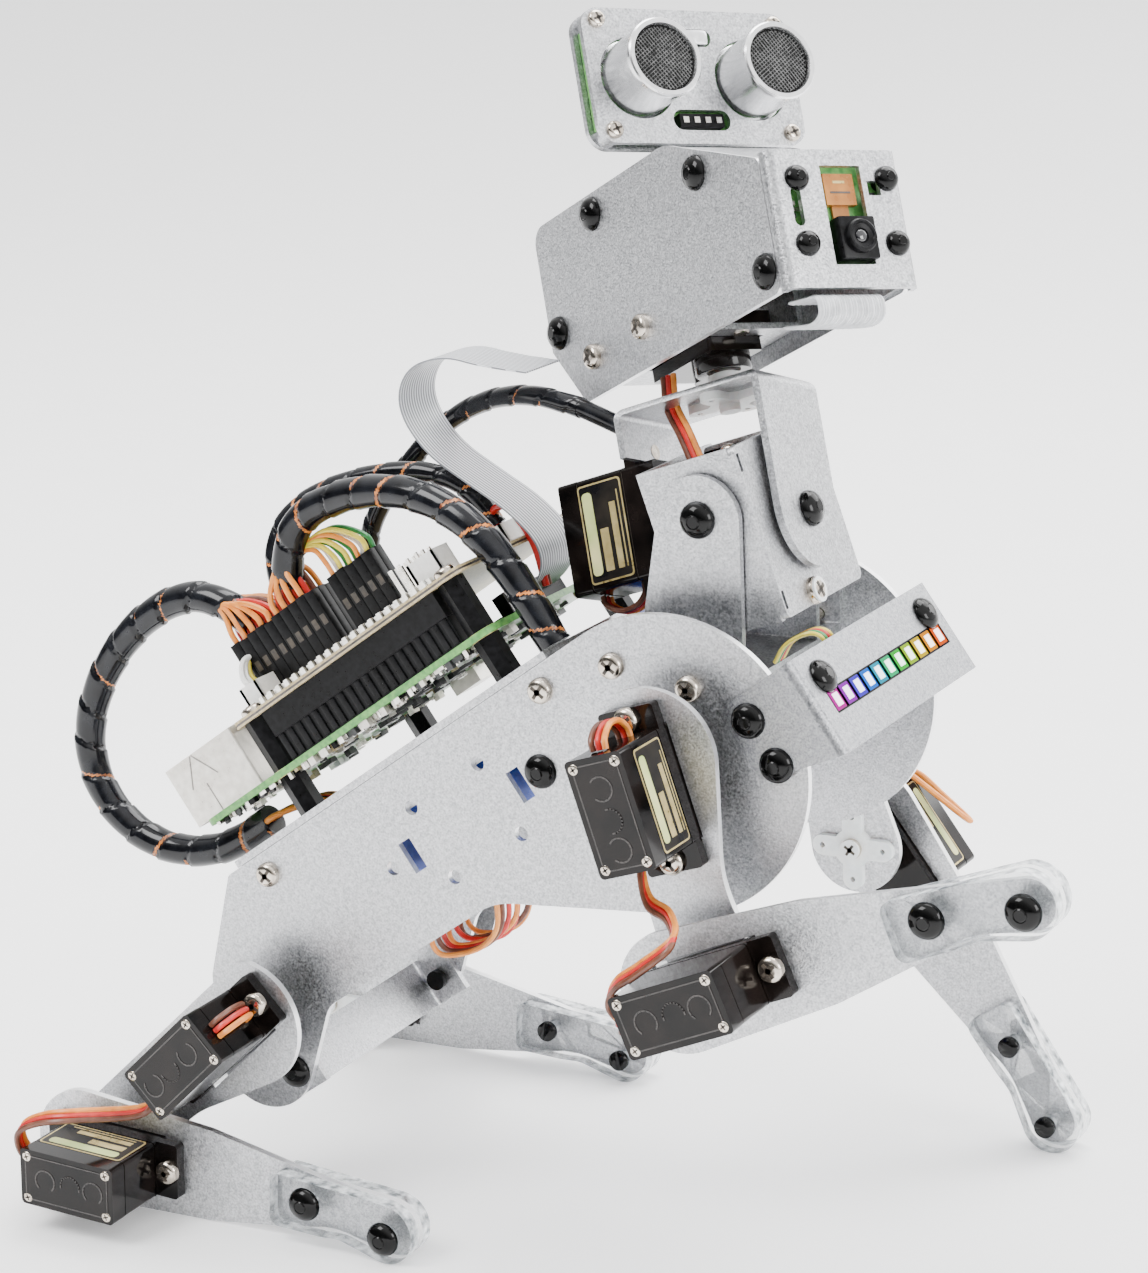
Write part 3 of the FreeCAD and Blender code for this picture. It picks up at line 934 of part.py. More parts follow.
doc.recompute()
problems = [thing.Name for thing in doc.Objects if "Invalid" in thing.State or "Error" in thing.State]
for solid in NODES:
    if solid.Shape.isNull() or not solid.Shape.isValid():
        problems.append(solid.Label)
if problems:
    raise RuntimeError("failed: " + ", ".join(problems))

reach = FreeCAD.BoundBox()
for solid in NODES:
    solid.Shape.exportStep(f"parts/{solid.Label}.step")
    if solid.Label not in CABLES:
        reach.add(solid.Shape.optimalBoundingBox(False))
print(f"{len(NODES)} sub-parts, box {reach}")
print(f"middle of the footprint: {(reach.XMin + reach.XMax) / 2:.3f}, {(reach.YMin + reach.YMax) / 2:.3f}")
for leg, (side, (upper, lower)) in LEGS.items():
    print(f"joint {leg}: hip {tuple(upper.Base)}, knee {tuple(lower.Base)}")
for name, place in (("neck_pitch", NECK), ("neck_roll", YOKE), ("head_yaw", HEAD)):
    print(f"joint {name}: at {tuple(place.Base)}, x {tuple(place.Rotation.multVec(Vector(1, 0, 0)))}, "
          f"z {tuple(place.Rotation.multVec(Vector(0, 0, 1)))}")
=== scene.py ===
import json
import math
import random
import bmesh
import bpy
from mathutils import Matrix, Vector


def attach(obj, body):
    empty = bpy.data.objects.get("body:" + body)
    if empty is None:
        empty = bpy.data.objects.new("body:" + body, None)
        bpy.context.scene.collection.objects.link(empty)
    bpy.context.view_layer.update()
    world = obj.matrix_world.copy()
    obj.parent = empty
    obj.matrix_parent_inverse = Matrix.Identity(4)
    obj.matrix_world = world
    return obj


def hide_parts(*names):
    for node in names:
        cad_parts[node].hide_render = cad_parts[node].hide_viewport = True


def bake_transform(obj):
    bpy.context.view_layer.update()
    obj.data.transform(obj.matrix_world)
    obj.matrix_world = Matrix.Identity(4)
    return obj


# Looks of the four-legged robot kit. Unless a comment says otherwise, lengths are millimetres in the frame
# of one link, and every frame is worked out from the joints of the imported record.

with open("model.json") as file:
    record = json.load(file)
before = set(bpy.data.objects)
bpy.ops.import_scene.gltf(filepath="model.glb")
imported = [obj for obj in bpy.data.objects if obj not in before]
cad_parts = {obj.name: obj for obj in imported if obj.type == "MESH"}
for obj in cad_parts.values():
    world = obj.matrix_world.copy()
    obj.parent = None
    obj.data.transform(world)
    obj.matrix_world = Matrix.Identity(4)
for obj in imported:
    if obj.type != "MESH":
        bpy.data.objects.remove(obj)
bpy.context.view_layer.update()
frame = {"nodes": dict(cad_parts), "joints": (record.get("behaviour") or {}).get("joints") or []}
MM = 0.001
JOINTS = {joint["name"]: joint for joint in frame["joints"]}
LEGS = {"front_right": -1, "front_left": 1, "rear_right": -1, "rear_left": 1}

# ---------------------------------------------------------------- frames of the links


def turned(x_axis, z_axis):
    """Rotation to two axes, each of length 1 and square to each other."""
    return Matrix((x_axis, z_axis.cross(x_axis), z_axis)).transposed().to_4x4()


def axes(origin, x_way, z_way):
    """Frame in metres whose unit is a millimetre: x along x_way, z along z_way."""
    x_axis, z_axis = Vector(x_way).normalized(), Vector(z_way).normalized()
    return Matrix.Translation(Vector(origin)) @ turned(x_axis, z_axis) @ Matrix.Scale(MM, 4)


def link_frame(origin, direction):
    """x along a leg link, y to the robot's left, z a quarter turn on from x."""
    x_way = (math.cos(direction), 0, math.sin(direction))
    return axes(origin, x_way, (-math.sin(direction), 0, math.cos(direction)))


def spot(x, y, z):
    return Matrix.Translation(Vector((x, y, z)))


def spin(axis, degrees):
    return Matrix.Rotation(math.radians(degrees), 4, axis)


def facing(x, y, z, way):
    """At a point of a link, with z along way."""
    helper = (1, 0, 0) if abs(way[0]) < 0.9 else (0, 1, 0)
    z_axis = Vector(way).normalized()
    x_axis = Vector(helper).cross(z_axis).normalized()
    return spot(x, y, z) @ turned(x_axis, z_axis)


def direction_between(start, end):
    return math.atan2(end[2] - start[2], end[0] - start[0])


HIPS = {leg: Vector(JOINTS[leg + "_hip"]["pos_m"]) for leg in LEGS}
KNEES = {leg: Vector(JOINTS[leg + "_knee"]["pos_m"]) for leg in LEGS}
TILT = direction_between(HIPS["rear_right"], HIPS["front_right"])
TORSO = link_frame((HIPS["rear_right"] + HIPS["front_right"]) / 2, TILT)
TOE_REACH, TOE_DROP, TOE_RADIUS, HEEL_BACK, HEEL_RADIUS = 71.3, 1.6, 6.3, 3.0, 12.0
FRONT_RIGHT_SHIN = math.radians(22.4)


def shin_direction(leg):
    """The right front shin is raised, the left front one stands on its toe, and rear ones lie down."""
    if leg == "front_right":
        return FRONT_RIGHT_SHIN
    if leg == "front_left":
        reach, climb = TOE_REACH, TOE_RADIUS - KNEES[leg].z / MM
    else:
        reach, climb = TOE_REACH + HEEL_BACK, TOE_RADIUS - HEEL_RADIUS
    return math.atan2(TOE_DROP, reach) + math.asin(climb / math.hypot(reach, TOE_DROP))


THIGH = {leg: link_frame(HIPS[leg], direction_between(HIPS[leg], KNEES[leg])) for leg in LEGS}
SHIN = {leg: link_frame(KNEES[leg], shin_direction(leg)) for leg in LEGS}
ROLL_AXIS, YAW_AXIS = JOINTS["neck_roll"]["axis"], JOINTS["head_yaw"]["axis"]
NECK = axes(JOINTS["neck_pitch"]["pos_m"], ROLL_AXIS, Vector(ROLL_AXIS).cross(Vector((0, 1, 0))))
YAW_REST = -28.1  # degrees that the head is turned in the pose built
YOKE = axes(JOINTS["neck_roll"]["pos_m"], ROLL_AXIS, YAW_AXIS)
HEAD = axes(JOINTS["head_yaw"]["pos_m"], ROLL_AXIS, YAW_AXIS) @ spin("Z", YAW_REST)

BODY_HALF, LEG_STEP, SHEET = 31.0, 10.3, 1.5
HIP_FACE, KNEE_FACE = BODY_HALF + LEG_STEP, BODY_HALF + 2 * LEG_STEP


def on_plate(side, face):
    """Frame of a servo whose ears lie on a leg plate: its case stands outwards."""
    return spot(0, side * face, 0) @ spin("X", -90 * side)


def servo_at(origin, x_way, z_way):
    """Frame of a servo inside another link."""
    return spot(*origin) @ turned(Vector(x_way), Vector(z_way))


# ---------------------------------------------------------------- camera, light and floor

scene = bpy.context.scene
CAMERA_SPOT = (0.30844, -0.57332, 0.28968)  # metres
AZIMUTH, ELEVATION, ROLL = 0.499, 0.260, 0.041  # radians
FOCAL_LENGTH, SENSOR_WIDTH, SHIFT_X, SHIFT_Y = 95.43, 36, -0.0176, 0.0050


def add_camera():
    forward = Vector((-math.sin(AZIMUTH) * math.cos(ELEVATION), math.cos(AZIMUTH) * math.cos(ELEVATION),
                      -math.sin(ELEVATION)))
    level = Vector((math.cos(AZIMUTH), math.sin(AZIMUTH), 0))
    right = level * math.cos(ROLL) - level.cross(forward) * math.sin(ROLL)
    data = bpy.data.cameras.new("camera")
    data.lens, data.sensor_width = FOCAL_LENGTH, SENSOR_WIDTH
    data.shift_x, data.shift_y = SHIFT_X, SHIFT_Y
    camera = bpy.data.objects.new("camera", data)
    camera.matrix_world = Matrix.Translation(CAMERA_SPOT) @ turned(right, -forward)
    scene.collection.objects.link(camera)
    scene.camera = camera


def add_light(name, place, target, wide, power):
    """Square light. Places in metres, power in watts."""
    data = bpy.data.lights.new(name, "AREA")
    data.shape = "SQUARE"
    data.size = wide
    data.energy = power
    light = bpy.data.objects.new(name, data)
    light.location = place
    light.rotation_euler = (Vector(target) - Vector(place)).to_track_quat("-Z", "Y").to_euler()
    scene.collection.objects.link(light)


# The surroundings' brightness depends on the direction: an offset and a share of each axis give a number,
# which a ramp turns into a shade.
SKY_OFFSET, SKY_SHARES = 0.40, {"Y": 0.22, "X": 0.15, "Z": 0.36}
SKY_STOPS = (0.30, (0.10, 0.105, 0.11)), (0.62, (2.1, 2.1, 2.1))
FLOOR_HALF = 6.0  # metres


def add_stage():
    world = bpy.data.worlds.new("studio")
    world.use_nodes = True
    tree = world.node_tree
    way = tree.nodes.new("ShaderNodeTexCoord")
    apart = tree.nodes.new("ShaderNodeSeparateXYZ")
    tree.links.new(way.outputs["Generated"], apart.inputs[0])
    total = SKY_OFFSET
    for axis, share in SKY_SHARES.items():
        total = maths(tree, "MULTIPLY_ADD", apart.outputs[axis], share, total)
    tree.links.new(ramp(tree, total, SKY_STOPS), tree.nodes["Background"].inputs["Color"])
    scene.world = world
    add_light("key_light", (-0.45, -0.55, 0.95), (0, 0, 0.1), 0.5, 11)
    add_light("side_light", (0.95, -0.15, 0.45), (0, 0, 0.12), 0.4, 6)
    add_light("top_light", (0.0, 0.5, 1.2), (0, 0, 0.1), 0.8, 20)
    add_light("far_light", (1.0, 2.4, 1.6), (0.0, 1.6, 0.0), 2.0, 60)
    mesh = bpy.data.meshes.new("floor")
    corners = [(x * FLOOR_HALF, y * FLOOR_HALF, 0) for x, y in ((-1, -1), (1, -1), (1, 1), (-1, 1))]
    mesh.from_pydata(corners, [], [(0, 1, 2, 3)])
    mesh.materials.append(FLOOR)
    floor = bpy.data.objects.new("floor", mesh)
    scene.collection.objects.link(floor)


# ---------------------------------------------------------------- materials


def maths(tree, operation, *values):
    """Math node whose inputs are numbers or other nodes' sockets. Returns its output."""
    node = tree.nodes.new("ShaderNodeMath")
    node.operation = operation
    for socket, value in zip(node.inputs, values):
        if isinstance(value, bpy.types.NodeSocket):
            tree.links.new(value, socket)
        else:
            socket.default_value = value
    return node.outputs[0]


def ramp(tree, value, stops):
    """Colour ramp between two stops, each a position and a colour. Returns its output."""
    node = tree.nodes.new("ShaderNodeValToRGB")
    for element, (position, colour) in zip(node.color_ramp.elements, stops):
        element.position = position
        element.color = (*colour, 1)
    tree.links.new(value, node.inputs["Fac"])
    return node.outputs["Color"]


def shader(name, colour, roughness, metallic=0.0, **sockets):
    """A Principled material with even values. Returns the material and its shader node."""
    material = bpy.data.materials.new(name)
    material.use_nodes = True
    principled = material.node_tree.nodes["Principled BSDF"]
    principled.inputs["Base Color"].default_value = (*colour, 1)
    principled.inputs["Roughness"].default_value = roughness
    principled.inputs["Metallic"].default_value = metallic
    for socket, value in sockets.items():
        principled.inputs[socket.replace("_", " ")].default_value = value
    return material, principled


FINE_SHARE, COARSE_SHARE = 0.7, 0.3  # of the two noises in a grain
BUMP_DEPTH = 0.0001  # metres


def grained(name, dark, light, rough, metallic, grain, bump, coarse=60, **sockets):
    """Material whose colour, roughness and surface vary with a fine and a coarse noise."""
    material, principled = shader(name, light, rough[1], metallic, **sockets)
    tree = material.node_tree
    place = tree.nodes.new("ShaderNodeTexCoord")
    fine = tree.nodes.new("ShaderNodeTexNoise")
    fine.inputs["Scale"].default_value = grain
    fine.inputs["Detail"].default_value = 3
    broad = tree.nodes.new("ShaderNodeTexNoise")
    broad.inputs["Scale"].default_value = coarse
    for noise in (fine, broad):
        tree.links.new(place.outputs["Object"], noise.inputs["Vector"])
    some = maths(tree, "MULTIPLY", broad.outputs["Fac"], COARSE_SHARE)
    both = maths(tree, "MULTIPLY_ADD", fine.outputs["Fac"], FINE_SHARE, some)
    tree.links.new(ramp(tree, both, ((0.36, dark), (0.64, light))), principled.inputs["Base Color"])
    spread = tree.nodes.new("ShaderNodeMapRange")
    for end, value in (("From Min", 0.3), ("From Max", 0.7), ("To Min", rough[0]), ("To Max", rough[1])):
        spread.inputs[end].default_value = value
    tree.links.new(both, spread.inputs["Value"])
    tree.links.new(spread.outputs["Result"], principled.inputs["Roughness"])
    if bump:
        dent = tree.nodes.new("ShaderNodeBump")
        dent.inputs["Strength"].default_value = bump
        dent.inputs["Distance"].default_value = BUMP_DEPTH
        tree.links.new(fine.outputs["Fac"], dent.inputs["Height"])
        tree.links.new(dent.outputs["Normal"], principled.inputs["Normal"])
    return material


def striped(name, dark, light, period, axis):
    """Flat cable: conductors show as stripes, a period in metres apart along one axis of the model."""
    material, principled = shader(name, light, 0.35)
    tree = material.node_tree
    place = tree.nodes.new("ShaderNodeTexCoord")
    apart = tree.nodes.new("ShaderNodeSeparateXYZ")
    tree.links.new(place.outputs["Object"], apart.inputs[0])
    wave = maths(tree, "SINE", maths(tree, "MULTIPLY", apart.outputs[axis], 2 * math.pi / period))
    tree.links.new(ramp(tree, wave, ((0.0, dark), (0.35, light))), principled.inputs["Base Color"])
    return material


def glowing(name, colour, strength=1.3):
    return shader(name, tuple(0.05 * part for part in colour), 0.5, Emission_Color=(*colour, 1),
                  Emission_Strength=strength, Specular_IOR_Level=0.0)[0]


def blasted(name, dark=(0.33, 0.335, 0.35), light=(0.68, 0.685, 0.70)):
    """Bead-blasted aluminium sheet."""
    return grained(name, dark, light, (0.30, 0.48), 1.0, 2300, 0.8, coarse=900)


def painted_highlight_edged(name, way):
    """Blasted sheet whose cut edges, which face away from way, get a painted highlight: a near-white colour."""
    material = blasted(name)
    tree = material.node_tree
    base = tree.nodes["Principled BSDF"].inputs["Base Color"]
    place = tree.nodes.new("ShaderNodeTexCoord")
    along = tree.nodes.new("ShaderNodeVectorMath")
    along.operation = "DOT_PRODUCT"
    along.inputs[1].default_value = way
    tree.links.new(place.outputs["Normal"], along.inputs[0])
    edge = maths(tree, "LESS_THAN", maths(tree, "ABSOLUTE", along.outputs["Value"]), 0.6)
    mix = tree.nodes.new("ShaderNodeMix")
    mix.data_type = "RGBA"
    factor, first, second, result = mix.inputs[0], mix.inputs[6], mix.inputs[7], mix.outputs[2]
    # near-white colour of the edges: painted highlight
    second.default_value = (0.96, 0.96, 0.97, 1)
    tree.links.new(edge, factor)
    tree.links.new(base.links[0].from_socket, first)
    tree.links.new(result, base)
    return material


FLOOR = grained("floor_paper", (0.93, 0.93, 0.935), (0.95, 0.95, 0.95), (0.8, 0.9), 0, 40, 0,
                Emission_Color=(1, 1, 1, 1), Emission_Strength=0.25)
ALUMINIUM = blasted("blasted_aluminium")
# darker copy of the blasted sheet, for the chest bracket only: painted shade on its front
SHADE_PAINTED_SHEET = blasted("front_sheet_painted_shade", (0.22, 0.225, 0.24), (0.46, 0.465, 0.48))
BRIGHT = grained("machined_aluminium", (0.78, 0.78, 0.79), (0.90, 0.90, 0.91), (0.16, 0.28), 1.0, 900, 0.05)
NICKEL = grained("nickel_plate", (0.46, 0.40, 0.33), (0.74, 0.67, 0.58), (0.12, 0.24), 1.0, 700, 0.04)
RECESS = grained("recess_shade", (0.02, 0.016, 0.012), (0.07, 0.055, 0.04), (0.4, 0.6), 0, 900, 0.05)
RIVET = grained("black_nylon", (0.001, 0.001, 0.001), (0.003, 0.003, 0.003), (0.08, 0.14), 0, 500, 0.02,
                Specular_IOR_Level=0.22)
CASE = grained("smoked_case", (0.001, 0.0008, 0.0008), (0.010, 0.007, 0.006), (0.08, 0.16), 0, 160, 0.03,
               Specular_IOR_Level=0.24)
CASE_MARK = grained("case_mark", (0.05, 0.045, 0.042), (0.12, 0.105, 0.10), (0.2, 0.3), 0, 400, 0.04)
GOLD = grained("label_gold", (0.55, 0.42, 0.16), (0.78, 0.64, 0.30), (0.25, 0.35), 0.6, 400, 0.03)
LABEL = grained("label_print", (0.004, 0.004, 0.005), (0.022, 0.018, 0.014), (0.25, 0.35), 0, 220, 0.02,
                Specular_IOR_Level=0.2)
BAND = grained("label_band", (0.42, 0.55, 0.16), (0.80, 0.74, 0.36), (0.3, 0.4), 0, 90, 0.02, coarse=160)
HORN = grained("horn_nylon", (0.80, 0.80, 0.78), (0.90, 0.90, 0.88), (0.32, 0.42), 0, 800, 0.05,
               Subsurface_Weight=0.1)
GREEN = grained("green_board", (0.05, 0.22, 0.05), (0.16, 0.42, 0.10), (0.28, 0.4), 0, 900, 0.1)
TAN = grained("tan_laminate", (0.34, 0.26, 0.13), (0.60, 0.49, 0.29), (0.4, 0.5), 0, 1400, 0.1)
WEAVE = grained("can_weave", (0.008, 0.008, 0.008), (0.16, 0.16, 0.16), (0.3, 0.4), 0, 1100, 0.2)
ARC = grained("moulded_arc", (0.012, 0.010, 0.009), (0.045, 0.038, 0.035), (0.15, 0.25), 0, 400, 0.04)
FOLD = grained("fold_grey", (0.52, 0.53, 0.55), (0.70, 0.71, 0.73), (0.3, 0.4), 0, 500, 0.05)
# dark grey for the bars along the jack's fold: painted shade
CREASE_SHADE = grained("crease_painted_shade", (0.22, 0.21, 0.20), (0.34, 0.32, 0.30), (0.3, 0.4), 0.5, 500, 0.05)
WHITE = grained("white_nylon", (0.80, 0.80, 0.78), (0.92, 0.92, 0.90), (0.3, 0.4), 0, 900, 0.04)
BLACK = grained("black_moulding", (0.002, 0.002, 0.002), (0.008, 0.008, 0.009), (0.25, 0.4), 0, 900, 0.08,
                Specular_IOR_Level=0.12)
STEEL = grained("jack_steel", (0.55, 0.52, 0.47), (0.78, 0.75, 0.69), (0.25, 0.38), 0.75, 500, 0.05)
CHIP = grained("chip_resin", (0.02, 0.02, 0.022), (0.05, 0.05, 0.052), (0.35, 0.5), 0, 1200, 0.1)
PIN = grained("gilt_pin", (0.62, 0.60, 0.55), (0.85, 0.83, 0.78), (0.15, 0.25), 1.0, 900, 0.03)
BLUE = grained("battery_wrap", (0.008, 0.02, 0.14), (0.02, 0.06, 0.36), (0.2, 0.3), 0, 300, 0.05)
WRAP = grained("spiral_wrap", (0.002, 0.002, 0.003), (0.010, 0.011, 0.014), (0.10, 0.18), 0, 400, 0.05,
               Specular_IOR_Level=0.34)
WIRES = grained("wires_in_wrap", (0.10, 0.02, 0.01), (0.85, 0.28, 0.05), (0.3, 0.4), 0, 900, 0.05, coarse=300)
ORANGE, RED, BROWN, YELLOW, LEAF = [grained(name + "_wire", dark, light, (0.3, 0.38), 0, 500, 0.03)
                                    for name, dark, light in (
    ("orange", (0.70, 0.20, 0.02), (0.86, 0.32, 0.06)), ("red", (0.48, 0.01, 0.01), (0.66, 0.03, 0.02)),
    ("brown", (0.10, 0.03, 0.015), (0.18, 0.06, 0.03)), ("yellow", (0.62, 0.50, 0.03), (0.80, 0.66, 0.08)),
    ("green", (0.02, 0.20, 0.05), (0.04, 0.32, 0.10)))]
FLEX = grained("amber_flex", (0.36, 0.12, 0.012), (0.56, 0.22, 0.03), (0.25, 0.35), 0, 300, 0.05)
LENS, _ = shader("lens_glass", (0.004, 0.004, 0.006), 0.04, Coat_Weight=1.0)
MESH = grained("black_mesh", (0.001, 0.001, 0.001), (0.02, 0.02, 0.02), (0.5, 0.6), 0, 1800, 0.6,
               Specular_IOR_Level=0.1)
ACRYLIC, _ = shader("clear_acrylic", (0.62, 0.66, 0.69), 0.05, Alpha=0.13)
# edges of the clear pads: white painted highlights and dark lines of painted shade
ACRYLIC_EDGE_LIGHT_AND_SHADE = grained("acrylic_edge_painted_light", (0.07, 0.09, 0.10), (0.93, 0.96, 0.98), (0.05, 0.12), 0, 420, 0.1,
                       coarse=700, Alpha=0.85)
RIBBON = striped("grey_ribbon", (0.20, 0.21, 0.23), (0.74, 0.75, 0.78), 0.00094, "Y")
# the lamp strip's colours from the robot's right to its left, and the near-white middle of each lamp
HUES = [(0.62, 0.03, 0.40), (0.40, 0.03, 0.62), (0.10, 0.06, 0.80), (0.02, 0.20, 0.90), (0.01, 0.42, 0.62),
        (0.01, 0.60, 0.22), (0.04, 0.62, 0.06), (0.40, 0.66, 0.02), (0.80, 0.55, 0.01), (0.90, 0.32, 0.01),
        (0.95, 0.12, 0.01)]
LAMPS = [glowing(f"lamp_{index}", colour) for index, colour in enumerate(HUES)]
HOT = [glowing(f"lamp_core_{index}", tuple(0.70 + 0.30 * part for part in colour), 5.0)
       for index, colour in enumerate(HUES)]

# sheets whose edges carry painted highlights
BODY_SHEET = painted_highlight_edged("body_sheet", (0, 1, 0))
HEAD_SHEET = painted_highlight_edged("head_sheet", (HEAD.to_3x3() @ Vector((0, 1, 0))).normalized())

# ---------------------------------------------------------------- mesh building


def skin(mesh, rings):
    """Quads between rings of vertices, and a cap at each end. Returns the quads, row by row."""
    quads = []
    for low, high in zip(rings, rings[1:]):
        for side in range(len(low)):
            after = (side + 1) % len(low)
            quads.append(mesh.faces.new((low[side], low[after], high[after], high[side])))
    mesh.faces.new(rings[0][::-1])
    mesh.faces.new(rings[-1])
    return quads


def as_object(name, mesh, materials, crease):
    """Object with the mesh, whose edges are sharp where faces meet at more than crease degrees."""
    data = bpy.data.meshes.new(name)
    mesh.to_mesh(data)
    mesh.free()
    for material in materials:
        data.materials.append(material)
    data.set_sharp_from_angle(angle=math.radians(crease))
    thing = bpy.data.objects.new(name, data)
    scene.collection.objects.link(thing)
    return thing


class Piece:
    """Collects solids, each with its material, and becomes one object."""

    def __init__(self, place):
        self.place = place
        self.mesh = bmesh.new()
        self.materials = []

    def keep(self, vertices, material, smooth, matrix):
        for vertex in vertices:
            vertex.co = self.place @ matrix @ vertex.co
        if material not in self.materials:
            self.materials.append(material)
        index = self.materials.index(material)
        for face in {face for vertex in vertices for face in vertex.link_faces}:
            face.material_index = index
            face.smooth = smooth

    def block(self, sizes, centre, material, matrix=Matrix(), bevel=0.0):
        made = bmesh.ops.create_cube(self.mesh, size=1.0)["verts"]
        for vertex in made:
            vertex.co = Vector(vertex.co[i] * sizes[i] + centre[i] for i in range(3))
        if bevel:
            edges = list({edge for vertex in made for edge in vertex.link_edges})
            cut = bmesh.ops.bevel(self.mesh, geom=edges, offset=bevel, segments=2, profile=0.6,
                                  affect="EDGES")
            left = {vertex for vertex in made if vertex.is_valid}
            made = list({vertex for face in cut["faces"] for vertex in face.verts} | left)
        self.keep(made, material, False, matrix)

    def lathe(self, profile, material, matrix=Matrix(), sides=32):
        """Turn (radius, z) points about z. Ends with radius 0 close the solid."""
        rings = []
        for radius, z in profile:
            if radius < 1e-6:
                rings.append([self.mesh.verts.new((0, 0, z))])
                continue
            angles = [2 * math.pi * step / sides for step in range(sides)]
            circle = [(radius * math.cos(angle), radius * math.sin(angle), z) for angle in angles]
            rings.append([self.mesh.verts.new(place) for place in circle])
        for low, high in zip(rings, rings[1:]):
            for step in range(sides):
                corners = [ring[place % len(ring)] for ring, place in (
                    (low, step), (low, (step + 1) % sides), (high, (step + 1) % sides), (high, step))]
                self.mesh.faces.new(list(dict.fromkeys(corners)))
        self.keep([vertex for ring in rings for vertex in ring], material, True, matrix)

    def slab(self, outline, low, high, material, matrix=Matrix()):
        """A flat outline in x and y, raised from low to high."""
        rings = [[self.mesh.verts.new((x, y, z)) for x, y in outline] for z in (low, high)]
        skin(self.mesh, rings)
        self.keep(rings[0] + rings[1], material, False, matrix)

    def strand(self, points, radius, material, matrix=Matrix(), sides=8):
        """A round wire along a smooth line through the points."""
        angles = [2 * math.pi * step / sides for step in range(sides)]
        rings = [[self.mesh.verts.new(centre + (u * math.cos(a) + v * math.sin(a)) * radius) for a in angles]
                 for centre, u, v in carried(smooth_line([Vector(point) for point in points]))]
        skin(self.mesh, rings)
        self.keep([vertex for ring in rings for vertex in ring], material, True, matrix)

    def finish(self, name, body=None, replaces=()):
        """One object of all the solids. Without a body it is attached to nothing."""
        bmesh.ops.recalc_face_normals(self.mesh, faces=self.mesh.faces)
        thing = as_object(name, self.mesh, self.materials, 35)
        if body:
            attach(thing, body)
        if replaces:
            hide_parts(*replaces)
        return thing


def smooth_line(points):
    """Points of a Catmull-Rom line through the given ones."""
    steps = 7
    ends = [points[0] * 2 - points[1], *points, points[-1] * 2 - points[-2]]
    line = []
    for a, b, c, d in zip(ends, ends[1:], ends[2:], ends[3:]):
        for step in range(steps):
            t = step / steps
            line.append(0.5 * ((2 * b) + (c - a) * t + (2 * a - 5 * b + 4 * c - d) * t * t
                               + (3 * b - a - 3 * c + d) * t * t * t))
    return [*line, points[-1]]


def carried(line):
    """Each point of a line with two directions square to it that don't twist."""
    u = (line[1] - line[0]).normalized().orthogonal().normalized()
    made = []
    for index, point in enumerate(line):
        way = (line[min(index + 1, len(line) - 1)] - line[max(index - 1, 0)]).normalized()
        u = (u - way * u.dot(way)).normalized()
        made.append((point, u, way.cross(u)))
    return made


def rounded(left, low, right, high, corner):
    """Outline of a rectangle with round corners."""
    outline, steps = [], 5
    for x, y, start in ((right - corner, low + corner, -90), (right - corner, high - corner, 0),
                        (left + corner, high - corner, 90), (left + corner, low + corner, 180)):
        for step in range(steps + 1):
            angle = math.radians(start + 90 * step / steps)
            outline.append((x + corner * math.cos(angle), y + corner * math.sin(angle)))
    return outline


def paint(node, material):
    """Give a CAD node its material."""
    for slot in frame["nodes"][node].material_slots:
        slot.link = "OBJECT"
        slot.material = material


def repaint(node, body, rule):
    """Show a copy of a CAD node whose separate solids get their materials from rule(sizes)."""
    source = frame["nodes"][node]
    mesh = bmesh.new()
    mesh.from_mesh(source.data)
    bmesh.ops.remove_doubles(mesh, verts=mesh.verts, dist=1e-6)
    seen, materials = set(), []
    for start in mesh.verts:
        if start in seen:
            continue
        island, stack = [], [start]
        seen.add(start)
        while stack:
            vertex = stack.pop()
            island.append(vertex)
            for edge in vertex.link_edges:
                other = edge.other_vert(vertex)
                if other not in seen:
                    seen.add(other)
                    stack.append(other)
        spans = [[vertex.co[axis] for vertex in island] for axis in range(3)]
        material = rule([(max(span) - min(span)) / MM for span in spans])
        for face in {face for vertex in island for face in vertex.link_faces}:
            # edge faces of the pads take the painted highlights and shade
            shown = ACRYLIC_EDGE_LIGHT_AND_SHADE if material is ACRYLIC and abs(face.normal.y) < 0.7 else material
            if shown not in materials:
                materials.append(shown)
            face.material_index = materials.index(shown)
            face.smooth = True
    thing = as_object(node + "_look", mesh, materials, 30)
    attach(thing, body)
    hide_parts(node)


# ---------------------------------------------------------------- cables

# Routes in the torso's frame: the points of the part's source, with one more at the head's end of the
# head loop and of the ribbon.
REAR_LOOP = [
    (-44.8, -14.0, 32.4), (-55.4, -13.8, 32.0), (-66.2, -13.2, 35.0), (-75.2, -12.6, 41.0),
    (-81.0, -12.0, 50.2), (-82.2, -11.4, 60.8), (-78.0, -10.8, 70.4), (-69.0, -10.4, 77.6),
    (-57.8, -10.0, 82.0), (-46.4, -10.0, 83.4), (-35.8, -10.0, 81.8), (-28.6, -10.0, 76.2), (-25.2, -10.0, 68.9),
]
FRONT_LOOP = [
    (42.6, -22.0, 28.7), (42.9, -21.6, 40.2), (41.4, -20.5, 52.0), (36.6, -18.4, 62.6), (28.2, -16.0, 71.2),
    (17.6, -13.6, 76.8), (8.6, -12.0, 79.4), (0.4, -10.8, 80.4), (-7.4, -10.2, 77.2), (-12.6, -10.0, 70.4),
]
THIN_LOOP = [
    (29.0, 5.0, 57.2), (28.8, 5.0, 63.4), (26.0, 5.0, 70.4), (20.2, 4.8, 75.8), (12.4, 4.5, 80.0),
    (3.4, 4.0, 83.2), (-5.2, 3.0, 84.8), (-12.6, 1.2, 83.8), (-17.4, -1.2, 79.4), (-19.0, -3.6, 73.2),
    (-18.6, -5.0, 67.2),
]
